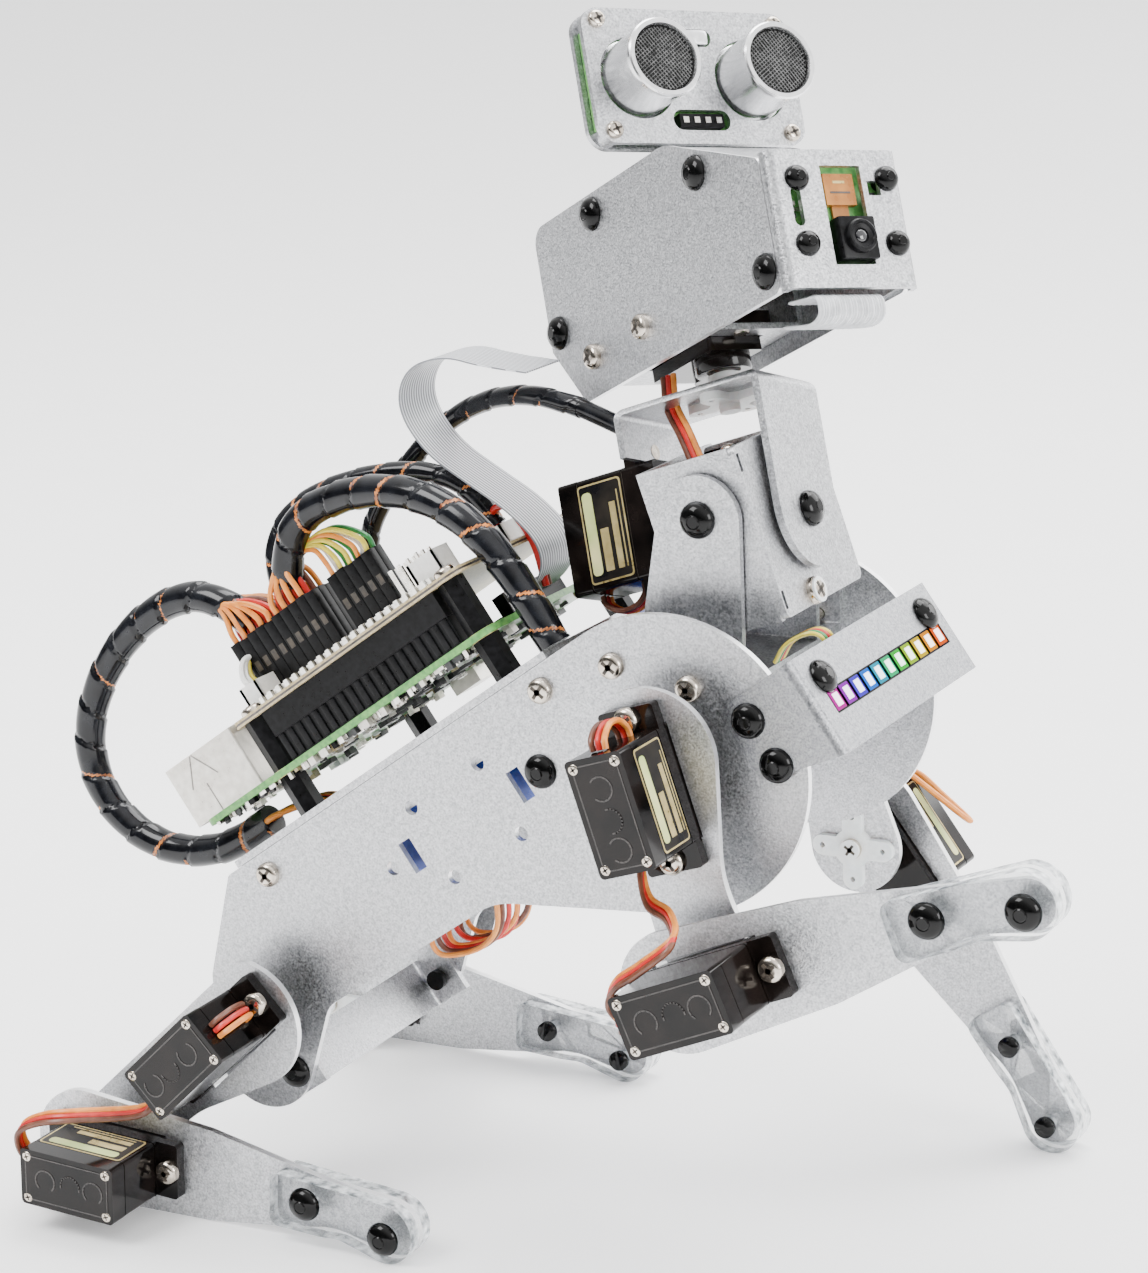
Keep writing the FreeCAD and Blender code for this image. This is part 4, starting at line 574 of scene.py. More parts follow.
HEAD_LOOP = [
    (-10.0, 13.0, 58.2), (-9.6, 13.2, 65.4), (-4.6, 13.8, 73.0), (4.6, 14.6, 77.8), (15.8, 15.0, 80.6),
    (27.0, 14.8, 82.0), (38.0, 12.4, 80.4), (47.2, 9.2, 76.8), (54.2, 6.8, 72.4), (60.4, 5.2, 66.2),
]
CAMERA_RIBBON = [
    (57.4, 6.0, 77.8), (50.6, 4.0, 83.8), (44.6, 4.0, 90.2), (35.6, 4.0, 93.0), (28.6, 4.0, 88.0),
    (28.4, 4.0, 77.0), (33.4, 4.0, 66.4), (38.0, 4.0, 57.0), (40.0, 4.0, 47.6), (35.6, 4.0, 42.0),
    (29.2, 4.0, 41.6),
]
BUNDLE, SLIM, RIBBON_WIDE, RIBBON_THICK = 7.0, 4.4, 14.0, 0.32
WRAP_STEP, RIBBON_STEP = 0.35, 0.6  # between a cable's rings of points


def route_line(name, route):
    """The route as a smooth line: points read from its NURBS spline, in metres."""
    curve = bpy.data.curves.new(name + "_route", "CURVE")
    curve.dimensions = "3D"
    curve.resolution_u = 24
    spline = curve.splines.new("NURBS")
    spline.points.add(len(route) - 1)
    for point, place in zip(spline.points, route):
        point.co = (*(TORSO @ Vector(place)), 1)
    spline.order_u = 3
    spline.use_endpoint_u = True
    holder = bpy.data.objects.new(name + "_route", curve)
    mesh = bpy.data.meshes.new_from_object(holder)
    line = [vertex.co.copy() for vertex in mesh.vertices]
    bpy.data.objects.remove(holder)
    bpy.data.meshes.remove(mesh)
    return line


def even_line(line, step):
    """Points a step apart along a line."""
    made, left = [line[0]], step
    for start, end in zip(line, line[1:]):
        run = (end - start).length
        while run > left:
            start = start.lerp(end, left / run)
            made.append(start)
            run -= left
            left = step
        left -= run
    return made


def follow(thing, bend):
    """Rides on the torso, or, when bend is given, stays fixed where it is built; the points of bend are not
    used.
    """
    if bend:
        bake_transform(thing)
    else:
        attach(thing, "torso")


def lay_cord(name):
    """Hides the CAD cord that the cable stands for."""
    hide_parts(name)


def wrapped_cable(name, route, diameter, pitch, bend=None):
    """Bundle of wires in spiral wrap: each turn overlaps the next, and wires show in the seam."""
    line = route_line(name, route)
    sides, outer = 36, diameter / 2 * MM
    mesh = bmesh.new()
    rings = []
    for index, (centre, u, v) in enumerate(carried(even_line(line, WRAP_STEP * MM))):
        ring = []
        for side in range(sides):
            angle = 2 * math.pi * side / sides
            turn = (index * WRAP_STEP / pitch + side / sides) % 1.0
            radius = outer * (0.84 if 0.07 < turn < 0.13 else 0.90 + 0.10 * turn)
            ring.append(mesh.verts.new(centre + (u * math.cos(angle) + v * math.sin(angle)) * radius))
        rings.append(ring)
    for place, face in enumerate(skin(mesh, rings)):
        index, side = divmod(place, sides)
        turn = (index * WRAP_STEP / pitch + side / sides) % 1.0
        loose = math.sin(index * WRAP_STEP / pitch * 2.1) > 0.1
        face.material_index = 1 if 0.06 < turn < 0.13 and loose else 0
        face.smooth = True
    cable = as_object(name + "_wrap", mesh, (WRAP, WIRES), 40)
    follow(cable, bend)
    lay_cord(name)


def flat_cable(name, route, bend=None):
    """The camera's flat cable: a thin strip, its width to the robot's side."""
    line = route_line(name, route)
    rows = even_line(line, RIBBON_STEP * MM)
    lateral, half, deep = Vector((0, 1, 0)), RIBBON_WIDE / 2 * MM, RIBBON_THICK / 2 * MM
    columns = 16
    across = [lateral * (half * (2 * column / columns - 1)) for column in range(columns + 1)]
    mesh = bmesh.new()
    rings = []
    for index, centre in enumerate(rows):
        ahead = rows[min(index + 1, len(rows) - 1)] - rows[max(index - 1, 0)]
        lift = ahead.cross(lateral).normalized() * deep
        rings.append([mesh.verts.new(centre + shift + lift) for shift in across]
                     + [mesh.verts.new(centre + shift - lift) for shift in across[::-1]])
    for face in skin(mesh, rings):
        face.smooth = True
    bmesh.ops.recalc_face_normals(mesh, faces=mesh.faces)
    strip = as_object(name + "_strip", mesh, (RIBBON,), 40)
    follow(strip, bend)
    lay_cord(name)


add_camera()
add_stage()
wrapped_cable("harness_rear_loop", REAR_LOOP, BUNDLE, 8.0)
wrapped_cable("harness_front_loop", FRONT_LOOP, BUNDLE, 8.0)
wrapped_cable("harness_thin_loop", THIN_LOOP, SLIM, 7.0)
wrapped_cable("harness_head_loop", HEAD_LOOP, SLIM, 7.5, bend=((15.8, 15.0, 80.6), (54.2, 6.8, 72.4)))
flat_cable("camera_ribbon", CAMERA_RIBBON, bend=((30.0, 4.0, 72.0), (44.0, 4.0, 86.0)))

# ---------------------------------------------------------------- materials of the CAD nodes

METAL_NODES = ["rear_strap", "deck_plate", "neck_bracket", "neck_box_shell", "neck_front_plate",
               "yoke_bracket", "head_face_cover", "head_top_cover", "head_servo_shelf"]
FLAT_NODES = ["side_plate_right", "side_plate_left"]
FLAT_NODES += [leg + part for leg in LEGS for part in ("_upper_leg", "_lower_leg")]
HORN_NODES = ["servo_horns", "neck_horn_and_fasteners", "head_yaw_horn"]
HORN_NODES += [leg + "_knee_horn" for leg in LEGS]
# the chest bracket gets the darker copy of the sheet, which is painted shade
for material, nodes in ((ALUMINIUM, METAL_NODES), (BODY_SHEET, FLAT_NODES), (SHADE_PAINTED_SHEET, ["chest_bracket"]),
                        (HEAD_SHEET, ["head_side_right", "head_side_left"]), (BLUE, ["battery_pack"]),
                        (WHITE, ["light_board"]), (BLACK, ["board_standoffs"]), (HORN, HORN_NODES)):
    for node in nodes:
        paint(node, material)

# ---------------------------------------------------------------- screws, rivets


def cross_screw(piece, matrix, radius, tall):
    """Pan head with a cross recess, standing on z = 0."""
    dome = (0, 1), (0.55, 0.985), (0.78, 0.9), (0.93, 0.72), (1, 0.45), (1, 0), (0, 0)
    piece.lathe([(radius * out, tall * up) for out, up in dome], NICKEL, matrix, sides=28)
    low, high = tall * 0.9, tall * 1.03
    piece.lathe([(0, low), (radius * 0.3, low), (radius * 0.26, high), (0, high)], RECESS, matrix, sides=12)
    for turn in (20, 110):
        piece.block((radius * 1.25, radius * 0.27, tall * 0.1), (0, 0, tall * 0.98), RECESS,
                    matrix @ spin("Z", turn))


def push_rivet(piece, matrix, radius, tall):
    """Black nylon push rivet: a low dome with the pin's head in its middle."""
    dome = ((0, 1), (0.30, 0.99), (0.36, 0.90), (0.40, 0.93), (0.7, 0.78), (0.9, 0.5), (1, 0.15), (1, 0),
            (0, 0))
    piece.lathe([(radius * out, tall * up) for out, up in dome], RIVET, matrix, sides=28)


# ---------------------------------------------------------------- servos

# Case of a servo. Its z axis runs along the shaft, away from the horn, and the ears begin at z = 0.
CASE_BACK, CASE_FRONT, CASE_SIDE, CASE_LOW, CASE_TOP = -5.9, 16.9, 6.1, -4.0, 18.5
CASE_MIDDLE = (CASE_BACK + CASE_FRONT) / 2
WIRE_PITCH = 1.25


def inset(edge, corner):
    """Outline of the case, an edge in from its sides."""
    return rounded(CASE_BACK + edge, edge - CASE_SIDE, CASE_FRONT - edge, CASE_SIDE - edge, corner)


def add_servo(name, body, place, label_side=None, bottom_screws=True):
    """Nine gram servo: case in three parts, ears, boss, label, bottom screws and its three leads."""
    piece = Piece(place)
    for low, high, shrink in ((CASE_LOW + 0.05, 3.4, 0.0), (3.7, 14.0, 0.05), (14.3, CASE_TOP, 0.0)):
        piece.slab(inset(shrink, 0.9), low, high, CASE)
    piece.slab(inset(0.3, 0.8), CASE_LOW + 0.2, CASE_TOP - 0.2, RECESS)
    piece.slab(rounded(-10.6, 0.1 - CASE_SIDE, 21.6, CASE_SIDE - 0.1, 0.8), 0.0, 2.5, CASE)
    piece.lathe([(2.45, -4), (2.45, -7), (5.4, -7), (5.6, -6.7), (5.6, -4), (2.45, -4)], CASE)
    piece.lathe([(0, -6.9), (2.5, -6.9), (2.6, -6.7), (2.6, -4), (0, -4)], CASE, spot(6.4, 0, 0))
    for x in (-8.4, 19.4):
        cross_screw(piece, spot(x, 0, 2.4), 2.55, 1.85)
        piece.lathe([(0, -1.6), (1.5, -1.6), (1.5, 0.2), (0, 0.2)], NICKEL, spot(x, 0, 0))
    # bottom face: a shallow rim, three moulded arcs and four small screws
    piece.slab(inset(1.2, 0.6), CASE_TOP - 0.1, CASE_TOP + 0.12, ARC)
    piece.slab(inset(1.5, 0.5), CASE_TOP, CASE_TOP + 0.16, CASE)
    for centre, sweep in ((CASE_MIDDLE - 5.2, 250), (CASE_MIDDLE + 1.0, 180), (CASE_MIDDLE + 6.6, 250)):
        for step in range(12):
            angle = math.radians(90 + sweep * (step / 11 - 0.5))
            x, y = centre + 2.3 * math.cos(angle), 2.3 * math.sin(angle)
            on_arc = spot(x, y, CASE_TOP + 0.16) @ spin("Z", math.degrees(angle) + 90)
            piece.block((1.0, 0.32, 0.22), (0, 0, 0), ARC, on_arc)
    if bottom_screws:
        for x in (CASE_BACK + 1.7, CASE_FRONT - 1.7):
            for y in (-4.5, 4.5):
                cross_screw(piece, spot(x, y, CASE_TOP - 0.1), 1.05, 0.35)
    if label_side:
        flat = spot(0, -CASE_SIDE, 0) @ spin("X", 90)
        if label_side > 0:
            flat = spot(2 * CASE_MIDDLE, CASE_SIDE, 0) @ spin("Z", 180) @ spin("X", 90)
        left, right = CASE_BACK + 1.4, CASE_FRONT - 1.4
        piece.slab(rounded(left, 4.0, right, 14.1, 0.8), -0.05, 0.05, GOLD, flat)
        piece.slab(rounded(left + 0.35, 4.35, right - 0.35, 13.75, 0.6), 0, 0.09, LABEL, flat)
        piece.slab(rounded(left + 1.6, 11.0, right - 1.6, 13.3, 0.9), 0, 0.13, BAND, flat)
        for low, high, start, end in ((8.3, 10.2, 2.0, 10.6), (5.9, 7.3, 2.0, 15.4), (5.0, 5.3, 2.0, 17.6)):
            piece.slab(rounded(left + start, low, left + end, high, 0.14), 0, 0.13, GOLD, flat)
    for index, colour in enumerate((BROWN, RED, ORANGE)):
        y = (index - 1) * WIRE_PITCH
        piece.strand([(CASE_BACK + 0.4, y, 5.2), (CASE_BACK - 1.6, y, 5.4), (CASE_BACK - 3.6, y * 1.1, 7.6),
                      (CASE_BACK - 4.0, y * 1.2, 11.2), (CASE_BACK - 2.2, y * 1.2, 14.4),
                      (CASE_BACK - 0.2, y * 1.1, 15.0)], 0.6, colour)
    piece.finish(name + "_look", body, (name,))


for leg, side in LEGS.items():
    hip_label = -side if leg.startswith("front") else None
    knee_label = -side if leg in ("front_left", "rear_right") else None
    add_servo(leg + "_hip_servo", leg + "_thigh", THIGH[leg] @ on_plate(side, HIP_FACE), hip_label)
    add_servo(leg + "_knee_servo", leg + "_shin", SHIN[leg] @ on_plate(side, KNEE_FACE), knee_label)

add_servo("neck_pitch_servo", "neck", NECK @ servo_at((0, 4.0, 0), (0, 0, -1), (0, -1, 0)))
add_servo("neck_roll_servo", "yoke", YOKE @ servo_at((-19.8, 0, 0), (0, 0, 1), (-1, 0, 0)), -1)
add_servo("head_yaw_servo", "head", HEAD @ servo_at((0, 0, -7.2), (-1, 0, 0), (0, 0, 1)), bottom_screws=False)


# ---------------------------------------------------------------- fasteners

LEFT, RIGHT, FORWARD, UP = (0, 1, 0), (0, -1, 0), (1, 0, 0), (0, 0, 1)
SIDES = (-1, RIGHT), (1, LEFT)
# places on a plate, in the two axes of its link that lie in the plate
SIDE_SCREWS = [(-40.0, 22.3), (40.0, 22.3), (56.5, 18.7), (68.2, 7.1)]
SIDE_RIVETS = [(-61.4, -14.7), (30.0, 9.35)]
CHEST_RIVETS = [(76.2, -4.0), (76.2, -13.8)]
LIGHT_RIVETS = [(-24.5, -4.4), (24.5, -4.4)]
CHEST_FACE, CHEST_HALF = 90.0, 32.55
SCREW_RADIUS, SCREW_TALL, RIVET_RADIUS, RIVET_TALL = 2.55, 1.75, 3.45, 2.05
HEAD_HALF, FACE, TOUCH_LEVEL = 14.5, 48.4, 28.7
HEAD_RIVETS = [(24.1, 18.2), (-15.3, 23.6), (41.8, -7.1), (-35.5, 5.2)]
HEAD_SCREWS = [(-3.5, -3.4), (-23.3, -3.4)]
FOOT_RIVETS = [(52.8, 0.7), (71.1, -2.6)]
CAMERA_RIVETS = [(y, z) for y in (-8.9, 10.9) for z in (8.6, -3.9)]
TOUCH_RIVETS = [(x, y) for x in (-28.5, -10.5) for y in (-7.0, 7.0)]
SONAR_SCREWS = [(y, z) for y in (-20.3, 20.3) for z in (32.6, 55.2)]


def shank(piece, matrix, radius, long, material=RIVET, sides=20):
    """Round body of a fastener, from its head down."""
    piece.lathe([(0, -long), (radius, -long), (radius, 0.2), (0, 0.2)], material, matrix, sides=sides)


def frame_rivet(piece, matrix, long=4.0, radius=RIVET_RADIUS):
    push_rivet(piece, matrix, radius, RIVET_TALL)
    shank(piece, matrix, 1.5, long)
    shank(piece, matrix @ spot(0, 0, -long), 2.2, 1.4)


def frame_screw(piece, matrix, long=5.0, radius=SCREW_RADIUS, tall=SCREW_TALL):
    cross_screw(piece, matrix, radius, tall)
    shank(piece, matrix, radius * 0.46, long, NICKEL, 16)


fixings = Piece(TORSO)
for side, way in SIDES:
    for x, z in SIDE_SCREWS:
        frame_screw(fixings, facing(x, side * BODY_HALF, z, way))
    for x, z in SIDE_RIVETS:
        frame_rivet(fixings, facing(x, side * BODY_HALF, z, way))
    for x, z in CHEST_RIVETS:
        frame_rivet(fixings, facing(x, side * CHEST_HALF, z, way), 5.5)
for y, z in LIGHT_RIVETS:
    frame_rivet(fixings, facing(CHEST_FACE, y, z, FORWARD), 5.0)
fixings.finish("frame_fixings", "torso", ("frame_fasteners",))

fixings = Piece(HEAD)
for side, way in SIDES:
    for x, z in HEAD_RIVETS:
        frame_rivet(fixings, facing(x, side * HEAD_HALF, z, way), 3.4)
    for x, z in HEAD_SCREWS:
        frame_screw(fixings, facing(x, side * HEAD_HALF, z, way), 4.0)
    frame_screw(fixings, facing(-1.2, side * 5, 28.5, UP), 4.0)
for y, z in CAMERA_RIVETS:
    frame_rivet(fixings, facing(FACE, y, z, FORWARD), 3.9, 2.45)
for x, y in TOUCH_RIVETS:
    push_rivet(fixings, facing(x, y, TOUCH_LEVEL, UP), RIVET_RADIUS, RIVET_TALL)
    shank(fixings, facing(x, y, TOUCH_LEVEL, UP), 1.5, 4.2)
for y, z in SONAR_SCREWS:
    frame_screw(fixings, facing(7.7, y, z, FORWARD), 7.0, 1.75, 1.25)
fixings.finish("head_fixings", "head", ("head_fasteners",))

pivots = Piece(NECK)
push_rivet(pivots, facing(0, -19.4, 0, RIGHT), 3.6, 2.3)
push_rivet(pivots, facing(13.4, 0, -5.35, FORWARD), 3.6, 2.3)
cross_screw(pivots, facing(10.7, -4.4, -20.3, FORWARD), 2.7, 1.9)
pivots.finish("neck_pivot_heads", "neck")

for leg, side in LEGS.items():
    repaint(leg + "_foot_pads", leg + "_shin", lambda sizes: ACRYLIC if max(sizes) > 12 else RIVET)
    caps = Piece(SHIN[leg])
    for x, z in FOOT_RIVETS:
        push_rivet(caps, facing(x, side * (KNEE_FACE + 3.0), z, (0, side, 0)), 3.5, 2.1)
    caps.finish(leg + "_foot_caps", leg + "_shin")
    hub = Piece(SHIN[leg] @ on_plate(side, KNEE_FACE))
    cross_screw(hub, spot(0, 0, -13.3) @ spin("X", 180), 2.2, 1.5)
    hub.finish(leg + "_knee_hub_screw", leg + "_thigh")

# ---------------------------------------------------------------- boards on the back

DECK_TOP, BOARD_LOW, BOARD_TOP, HAT_LOW, HAT_TOP = 28.4, 37.4, 38.8, 50.5, 51.9
STANDOFFS = [(x, y) for x in (-26.5, 31.5) for y in (-24.5, 24.5)]
PIN_PITCH = 2.54
HEADER_X, HEADER_Y, HEADER_PINS = 2.5, -24.5, 20
HEADER_START = HEADER_X - (HEADER_PINS - 1) / 2 * PIN_PITCH
PLUG_TALL = 15.0
PLUG_TOP = HAT_TOP + PLUG_TALL
SEED = random.Random(7)


def scatter(piece, count, left, right, low, high, z, up, keep_out=()):
    """Small parts soldered on a board: chips, capacitors, resistors and coils."""
    placed = []
    for _ in range(count * 6):
        if len(placed) >= count:
            break
        kind = SEED.random()
        if kind < 0.2:
            sizes = SEED.uniform(2.2, 4.4), SEED.uniform(2.2, 4.4), 1.1
        else:
            sizes = (1.7, 0.9, 0.7) if kind < 0.5 else (0.9, 1.7, 0.7) if kind < 0.8 else (1.5, 2.2, 1.6)
        x, y = SEED.uniform(left, right), SEED.uniform(low, high)
        reach = max(sizes[:2]) / 2 + 0.4
        if any(abs(x - a) < reach + r and abs(y - b) < reach + r for a, b, r in placed):
            continue
        if any(a - reach < x < b + reach and c - reach < y < d + reach for a, b, c, d in keep_out):
            continue
        placed.append((x, y, reach - 0.4))
        material = CHIP if kind < 0.2 else SEED.choice((STEEL, CHIP, WHITE, TAN, STEEL, PIN))
        piece.block(sizes, (x, y, z + up * sizes[2] / 2), material)


def pin_grid(piece, left, columns, near, rows, z, tall, wide=0.64):
    for i in range(columns):
        for j in range(rows):
            x, y = left + i * PIN_PITCH, near + j * PIN_PITCH
            piece.block((wide, wide, tall), (x, y, z + tall / 2), PIN)


computer = Piece(TORSO)
computer.slab(rounded(-50, -28, 35, 28, 3), BOARD_LOW, BOARD_TOP, GREEN)
for x, y in STANDOFFS:
    for z, turn in ((BOARD_TOP, 0), (BOARD_LOW, 180)):
        computer.lathe([(0, 0), (3.1, 0), (3.1, 0.08), (0, 0.08)], GOLD, spot(x, y, z) @ spin("X", turn))
# network jack with a folded crease in its side, drawn as thin dark bars of painted shade, then the two double
# sockets
computer.slab(rounded(-53.5, -25.7, -33.0, -9.7, 0.4), BOARD_TOP, BOARD_TOP + 13.5, STEEL)
computer.block((0.4, 12.2, 9.2), (-53.5, -17.7, BOARD_TOP + 6.6), RECESS)
computer.block((0.5, 12.6, 0.5), (-53.6, -17.7, BOARD_TOP + 11.4), STEEL)
for y in (-24.4, -11.0):
    computer.block((0.3, 0.4, 10.5), (-53.6, y, BOARD_TOP + 6.6), STEEL)
for turn, x in ((32, -47.5), (-32, -43.3)):
    computer.block((0.22, 0.16, 7.2), (0, 0, 0), CREASE_SHADE, spot(x, -25.75, BOARD_TOP + 10.2) @ spin("Y", turn))
computer.block((0.22, 0.16, 6.4), (-45.4, -25.72, BOARD_TOP + 3.4), CREASE_SHADE)
for middle in (1.0, 19.0):
    computer.slab(rounded(-52.5, middle - 7.3, -35.0, middle + 7.3, 0.4), BOARD_TOP, BOARD_TOP + 15.6, STEEL)
    for level in (4.0, 11.6):
        computer.block((0.3, 12.4, 5.0), (-52.5, middle, BOARD_TOP + level), RECESS)
        computer.block((0.5, 11.0, 1.6), (-52.4, middle, BOARD_TOP + level + 0.9), WHITE)
    for y in (middle - 6.9, middle + 6.9):
        computer.block((0.5, 1.0, 14.0), (-52.7, y, BOARD_TOP + 7.8), STEEL)
computer.block((15, 15, 2.4), (-8, 6, BOARD_TOP + 1.2), STEEL, bevel=0.5)
computer.block((10, 14, 1.4), (9, 8, BOARD_TOP + 0.7), CHIP)
computer.block((3, 22, 5.5), (27.4, 4, BOARD_TOP + 2.75), BLACK)
computer.block((7.5, 9, 3.2), (-8, 24, BOARD_LOW - 1.6), STEEL)
# tall header: ribbed skirt, smooth upper half and the pins under it
computer.block((51, 5, 5.6), (HEADER_X, HEADER_Y, BOARD_TOP + 8.9), BLACK)
computer.block((50.4, 4.2, 6.1), (HEADER_X, HEADER_Y, BOARD_TOP + 3.05), BLACK)
for index in range(HEADER_PINS):
    computer.block((1.5, 5.0, 5.6), (HEADER_START + index * PIN_PITCH, HEADER_Y, BOARD_TOP + 3.2), BLACK,
                   bevel=0.2)
pin_grid(computer, HEADER_START, HEADER_PINS, HEADER_Y - PIN_PITCH / 2, 2, BOARD_LOW - 1.3, 1.5)
scatter(computer, 70, -31, 26, -20, 26, BOARD_TOP, 1, ((-17, 0, -3, 15), (3, 15, 0, 16)))
scatter(computer, 150, -48, 33, -27.2, 26, BOARD_LOW, -1, ((-13, -3, 18, 30),))
for index in range(90):
    sizes = (SEED.uniform(0.7, 1.8), SEED.uniform(0.7, 1.6), SEED.uniform(0.6, 1.7))
    y = SEED.uniform(-27.0, -23.6)
    material = SEED.choice((STEEL, CHIP, PIN, BLACK, STEEL))
    computer.block(sizes, (-47 + index * 0.88, y, BOARD_LOW - sizes[2] / 2), material)
computer.finish("computer_board_look", "torso", ("computer_board",))

hat = Piece(TORSO)
# the laminate's dark middle layer shows at its edge
for low, high, shrink, material in ((0, 0.45, 0, TAN), (0.45, 0.9, 0.12, CASE_MARK),
                                    (0.9, HAT_TOP - HAT_LOW, 0, TAN)):
    outline = rounded(-31 + shrink, shrink - 28, 36 - shrink, 28 - shrink, 3)
    hat.slab(outline, HAT_LOW + low, HAT_LOW + high, material)
for x, y in STANDOFFS:
    cross_screw(hat, spot(x, y, HAT_TOP), 2.4, 1.5)
pin_grid(hat, HEADER_START, HEADER_PINS, HEADER_Y - PIN_PITCH / 2, 2, HAT_TOP, 1.5, wide=1.0)


def plug_place(centre, columns, rows, i, j):
    """Place in the deck's plane of one contact of a block of plugs."""
    return (centre[0] + (i - (columns - 1) / 2) * PIN_PITCH, centre[1] + (j - (rows - 1) / 2) * PIN_PITCH)


def plug_block(piece, centre, columns, rows):
    """Black crimp housings standing on a pin field, with their windows and gaps."""
    for i in range(columns):
        for j in range(rows):
            x, y = plug_place(centre, columns, rows, i, j)
            height = PLUG_TALL - SEED.uniform(0, 0.5)
            piece.block((2.42, 2.42, height), (x, y, HAT_TOP + height / 2), BLACK, bevel=0.12)
            piece.block((1.3, 0.1, 2.2), (x, y - 1.22, HAT_TOP + PLUG_TALL * 0.55), RECESS)
            piece.block((1.4, 1.4, 0.1), (x, y, HAT_TOP + height + 0.02), RECESS)


BIG_PLUG, SMALL_PLUG = ((-17.5, -9.5), 10, 4), ((4.5, -10.0), 5, 2)
plug_block(hat, *BIG_PLUG)
plug_block(hat, *SMALL_PLUG)
pin_grid(hat, 12.5, 4, -12.6, 3, HAT_TOP, 8.5)
hat.block((10, 7.6, 2.5), (16.3, -10.0, HAT_TOP + 1.25), BLACK)
for long, wide, tall, x, y in ((8, 9, 6, -10, 13), (5, 6, 5, 29, 5), (5, 7.5, 5.7, -26.5, -17.6),
                               (7.5, 5.8, 6.2, 26, -18.5)):
    hat.block((long, wide, 0.9), (x, y, HAT_TOP + 0.45), WHITE)
    for shift in (-1, 1):
        hat.block((long, 0.7, tall), (x, y + shift * (wide / 2 - 0.35), HAT_TOP + tall / 2), WHITE)
        hat.block((0.7, wide, tall), (x + shift * (long / 2 - 0.35), y, HAT_TOP + tall / 2), WHITE)
    hat.block((long - 1.6, wide - 1.6, tall * 0.7), (x, y, HAT_TOP + tall * 0.35), RECESS)
CHIP_X, CHIP_Y = 12, 16
hat.block((9.5, 9.5, 1.4), (CHIP_X, CHIP_Y, HAT_TOP + 0.7), CHIP)
for index in range(8):
    along = (index - 3.5) * 1.2
    for out in (-5.1, 5.1):
        hat.block((0.5, 0.9, 0.4), (CHIP_X + along, CHIP_Y + out, HAT_TOP + 0.3), STEEL)
        hat.block((0.9, 0.5, 0.4), (CHIP_X + out, CHIP_Y + along, HAT_TOP + 0.3), STEEL)
scatter(hat, 50, -28, 33, -3, 26, HAT_TOP, 1,
        ((-15, -5, 7, 19), (5, 19, 9, 23), (26, 32, 1, 9), (-31, -22, 20, 28), (27, 36, 20, 28)))
hat.finish("driver_board_look", "torso", ("driver_board",))

# wires from the cable ends into the plugs
fan = Piece(TORSO)
for i in range(9):
    for j, colour in enumerate((ORANGE, RED, BROWN, ORANGE)):
        x, y = plug_place(*BIG_PLUG, i, j)
        if i < 5:
            start = (-29.5 + 0.35 * j, -10 + (j - 1.5) * 1.3, 76.6 - 0.4 * i)
            middle = (-27.5 + (x + 27.5) * 0.5, -9.8 + (y + 9.8) * 0.9, 74.2 - 0.5 * abs(i - 2))
        else:
            start = (-9.4 - 0.3 * j, -10 + (j - 1.5) * 1.2, 76.0 - 0.3 * (i - 5))
            middle = (-10 + (x + 10) * 0.7, -9.8 + (y + 9.8) * 0.9, 72.0)
        fan.strand([start, middle, (x, y, PLUG_TOP + 2.2), (x, y, PLUG_TOP - 1)], 0.62, colour)
for i in range(5):
    for j, colour in enumerate((YELLOW, LEAF)):
        x, y = plug_place(*SMALL_PLUG, i, j)
        tint = colour if i % 3 else (WHITE if j else ORANGE)
        fan.strand([(-8.0 + 0.5 * i, -9 + j, 75.5), (x * 0.55 - 2, y + 1, 73.5 + 0.4 * i),
                    (x, y, PLUG_TOP + 3), (x, y, PLUG_TOP - 1)], 0.55, tint)
for index, colour in enumerate((RED, BROWN)):
    fan.strand([(-18.2, -4.6 + index, 72.0), (-14.6, -3.2 + index, 69.5), (-12.0, 2 + index, 64.0),
                (-10, 10 + index, 58)], 0.8, colour)
    fan.strand([(29, 4.4 + index, 57.0), (30.6, 4.2 + index, 60), (35.2, 2 + index, 58.5),
                (36.6, 1 + index, 50), (34.0, 0.5 + index, 41)], 0.8, colour)
for index, colour in enumerate((WHITE, WHITE, YELLOW)):
    fan.strand([(-26.5, -19.4 + index * 1.6, 55), (-28.2, -19 + index * 1.4, 59.5),
                (-27.6, -15 + index, 63.0), (-24.0, -9, 60.0)], 0.6, colour)
for index, colour in enumerate((ORANGE, BLACK, RED, ORANGE, BROWN, ORANGE)):
    y = -14 + (index - 2.5) * 0.9
    fan.strand([(-47, y, 32.2), (-43, y, 32.6), (-37, y + 1.2, 31.6), (-31.5, y + 2, 30.0),
                (-29.0, y + 5, 26.0)], 0.7, colour)
fan.finish("plug_wires", "torso")

spacers = Piece(TORSO)
SIX_TURNS = [math.radians(turn) for turn in range(30, 390, 60)]
for x, y in STANDOFFS:
    for low, high in ((DECK_TOP, BOARD_LOW), (BOARD_TOP, HAT_LOW)):
        six = [(x + 2.9 * math.cos(turn), y + 2.9 * math.sin(turn)) for turn in SIX_TURNS]
        spacers.slab(six, low, high, BLACK)
spacers.finish("standoffs_look", "torso", ("board_standoffs",))

# ---------------------------------------------------------------- light board

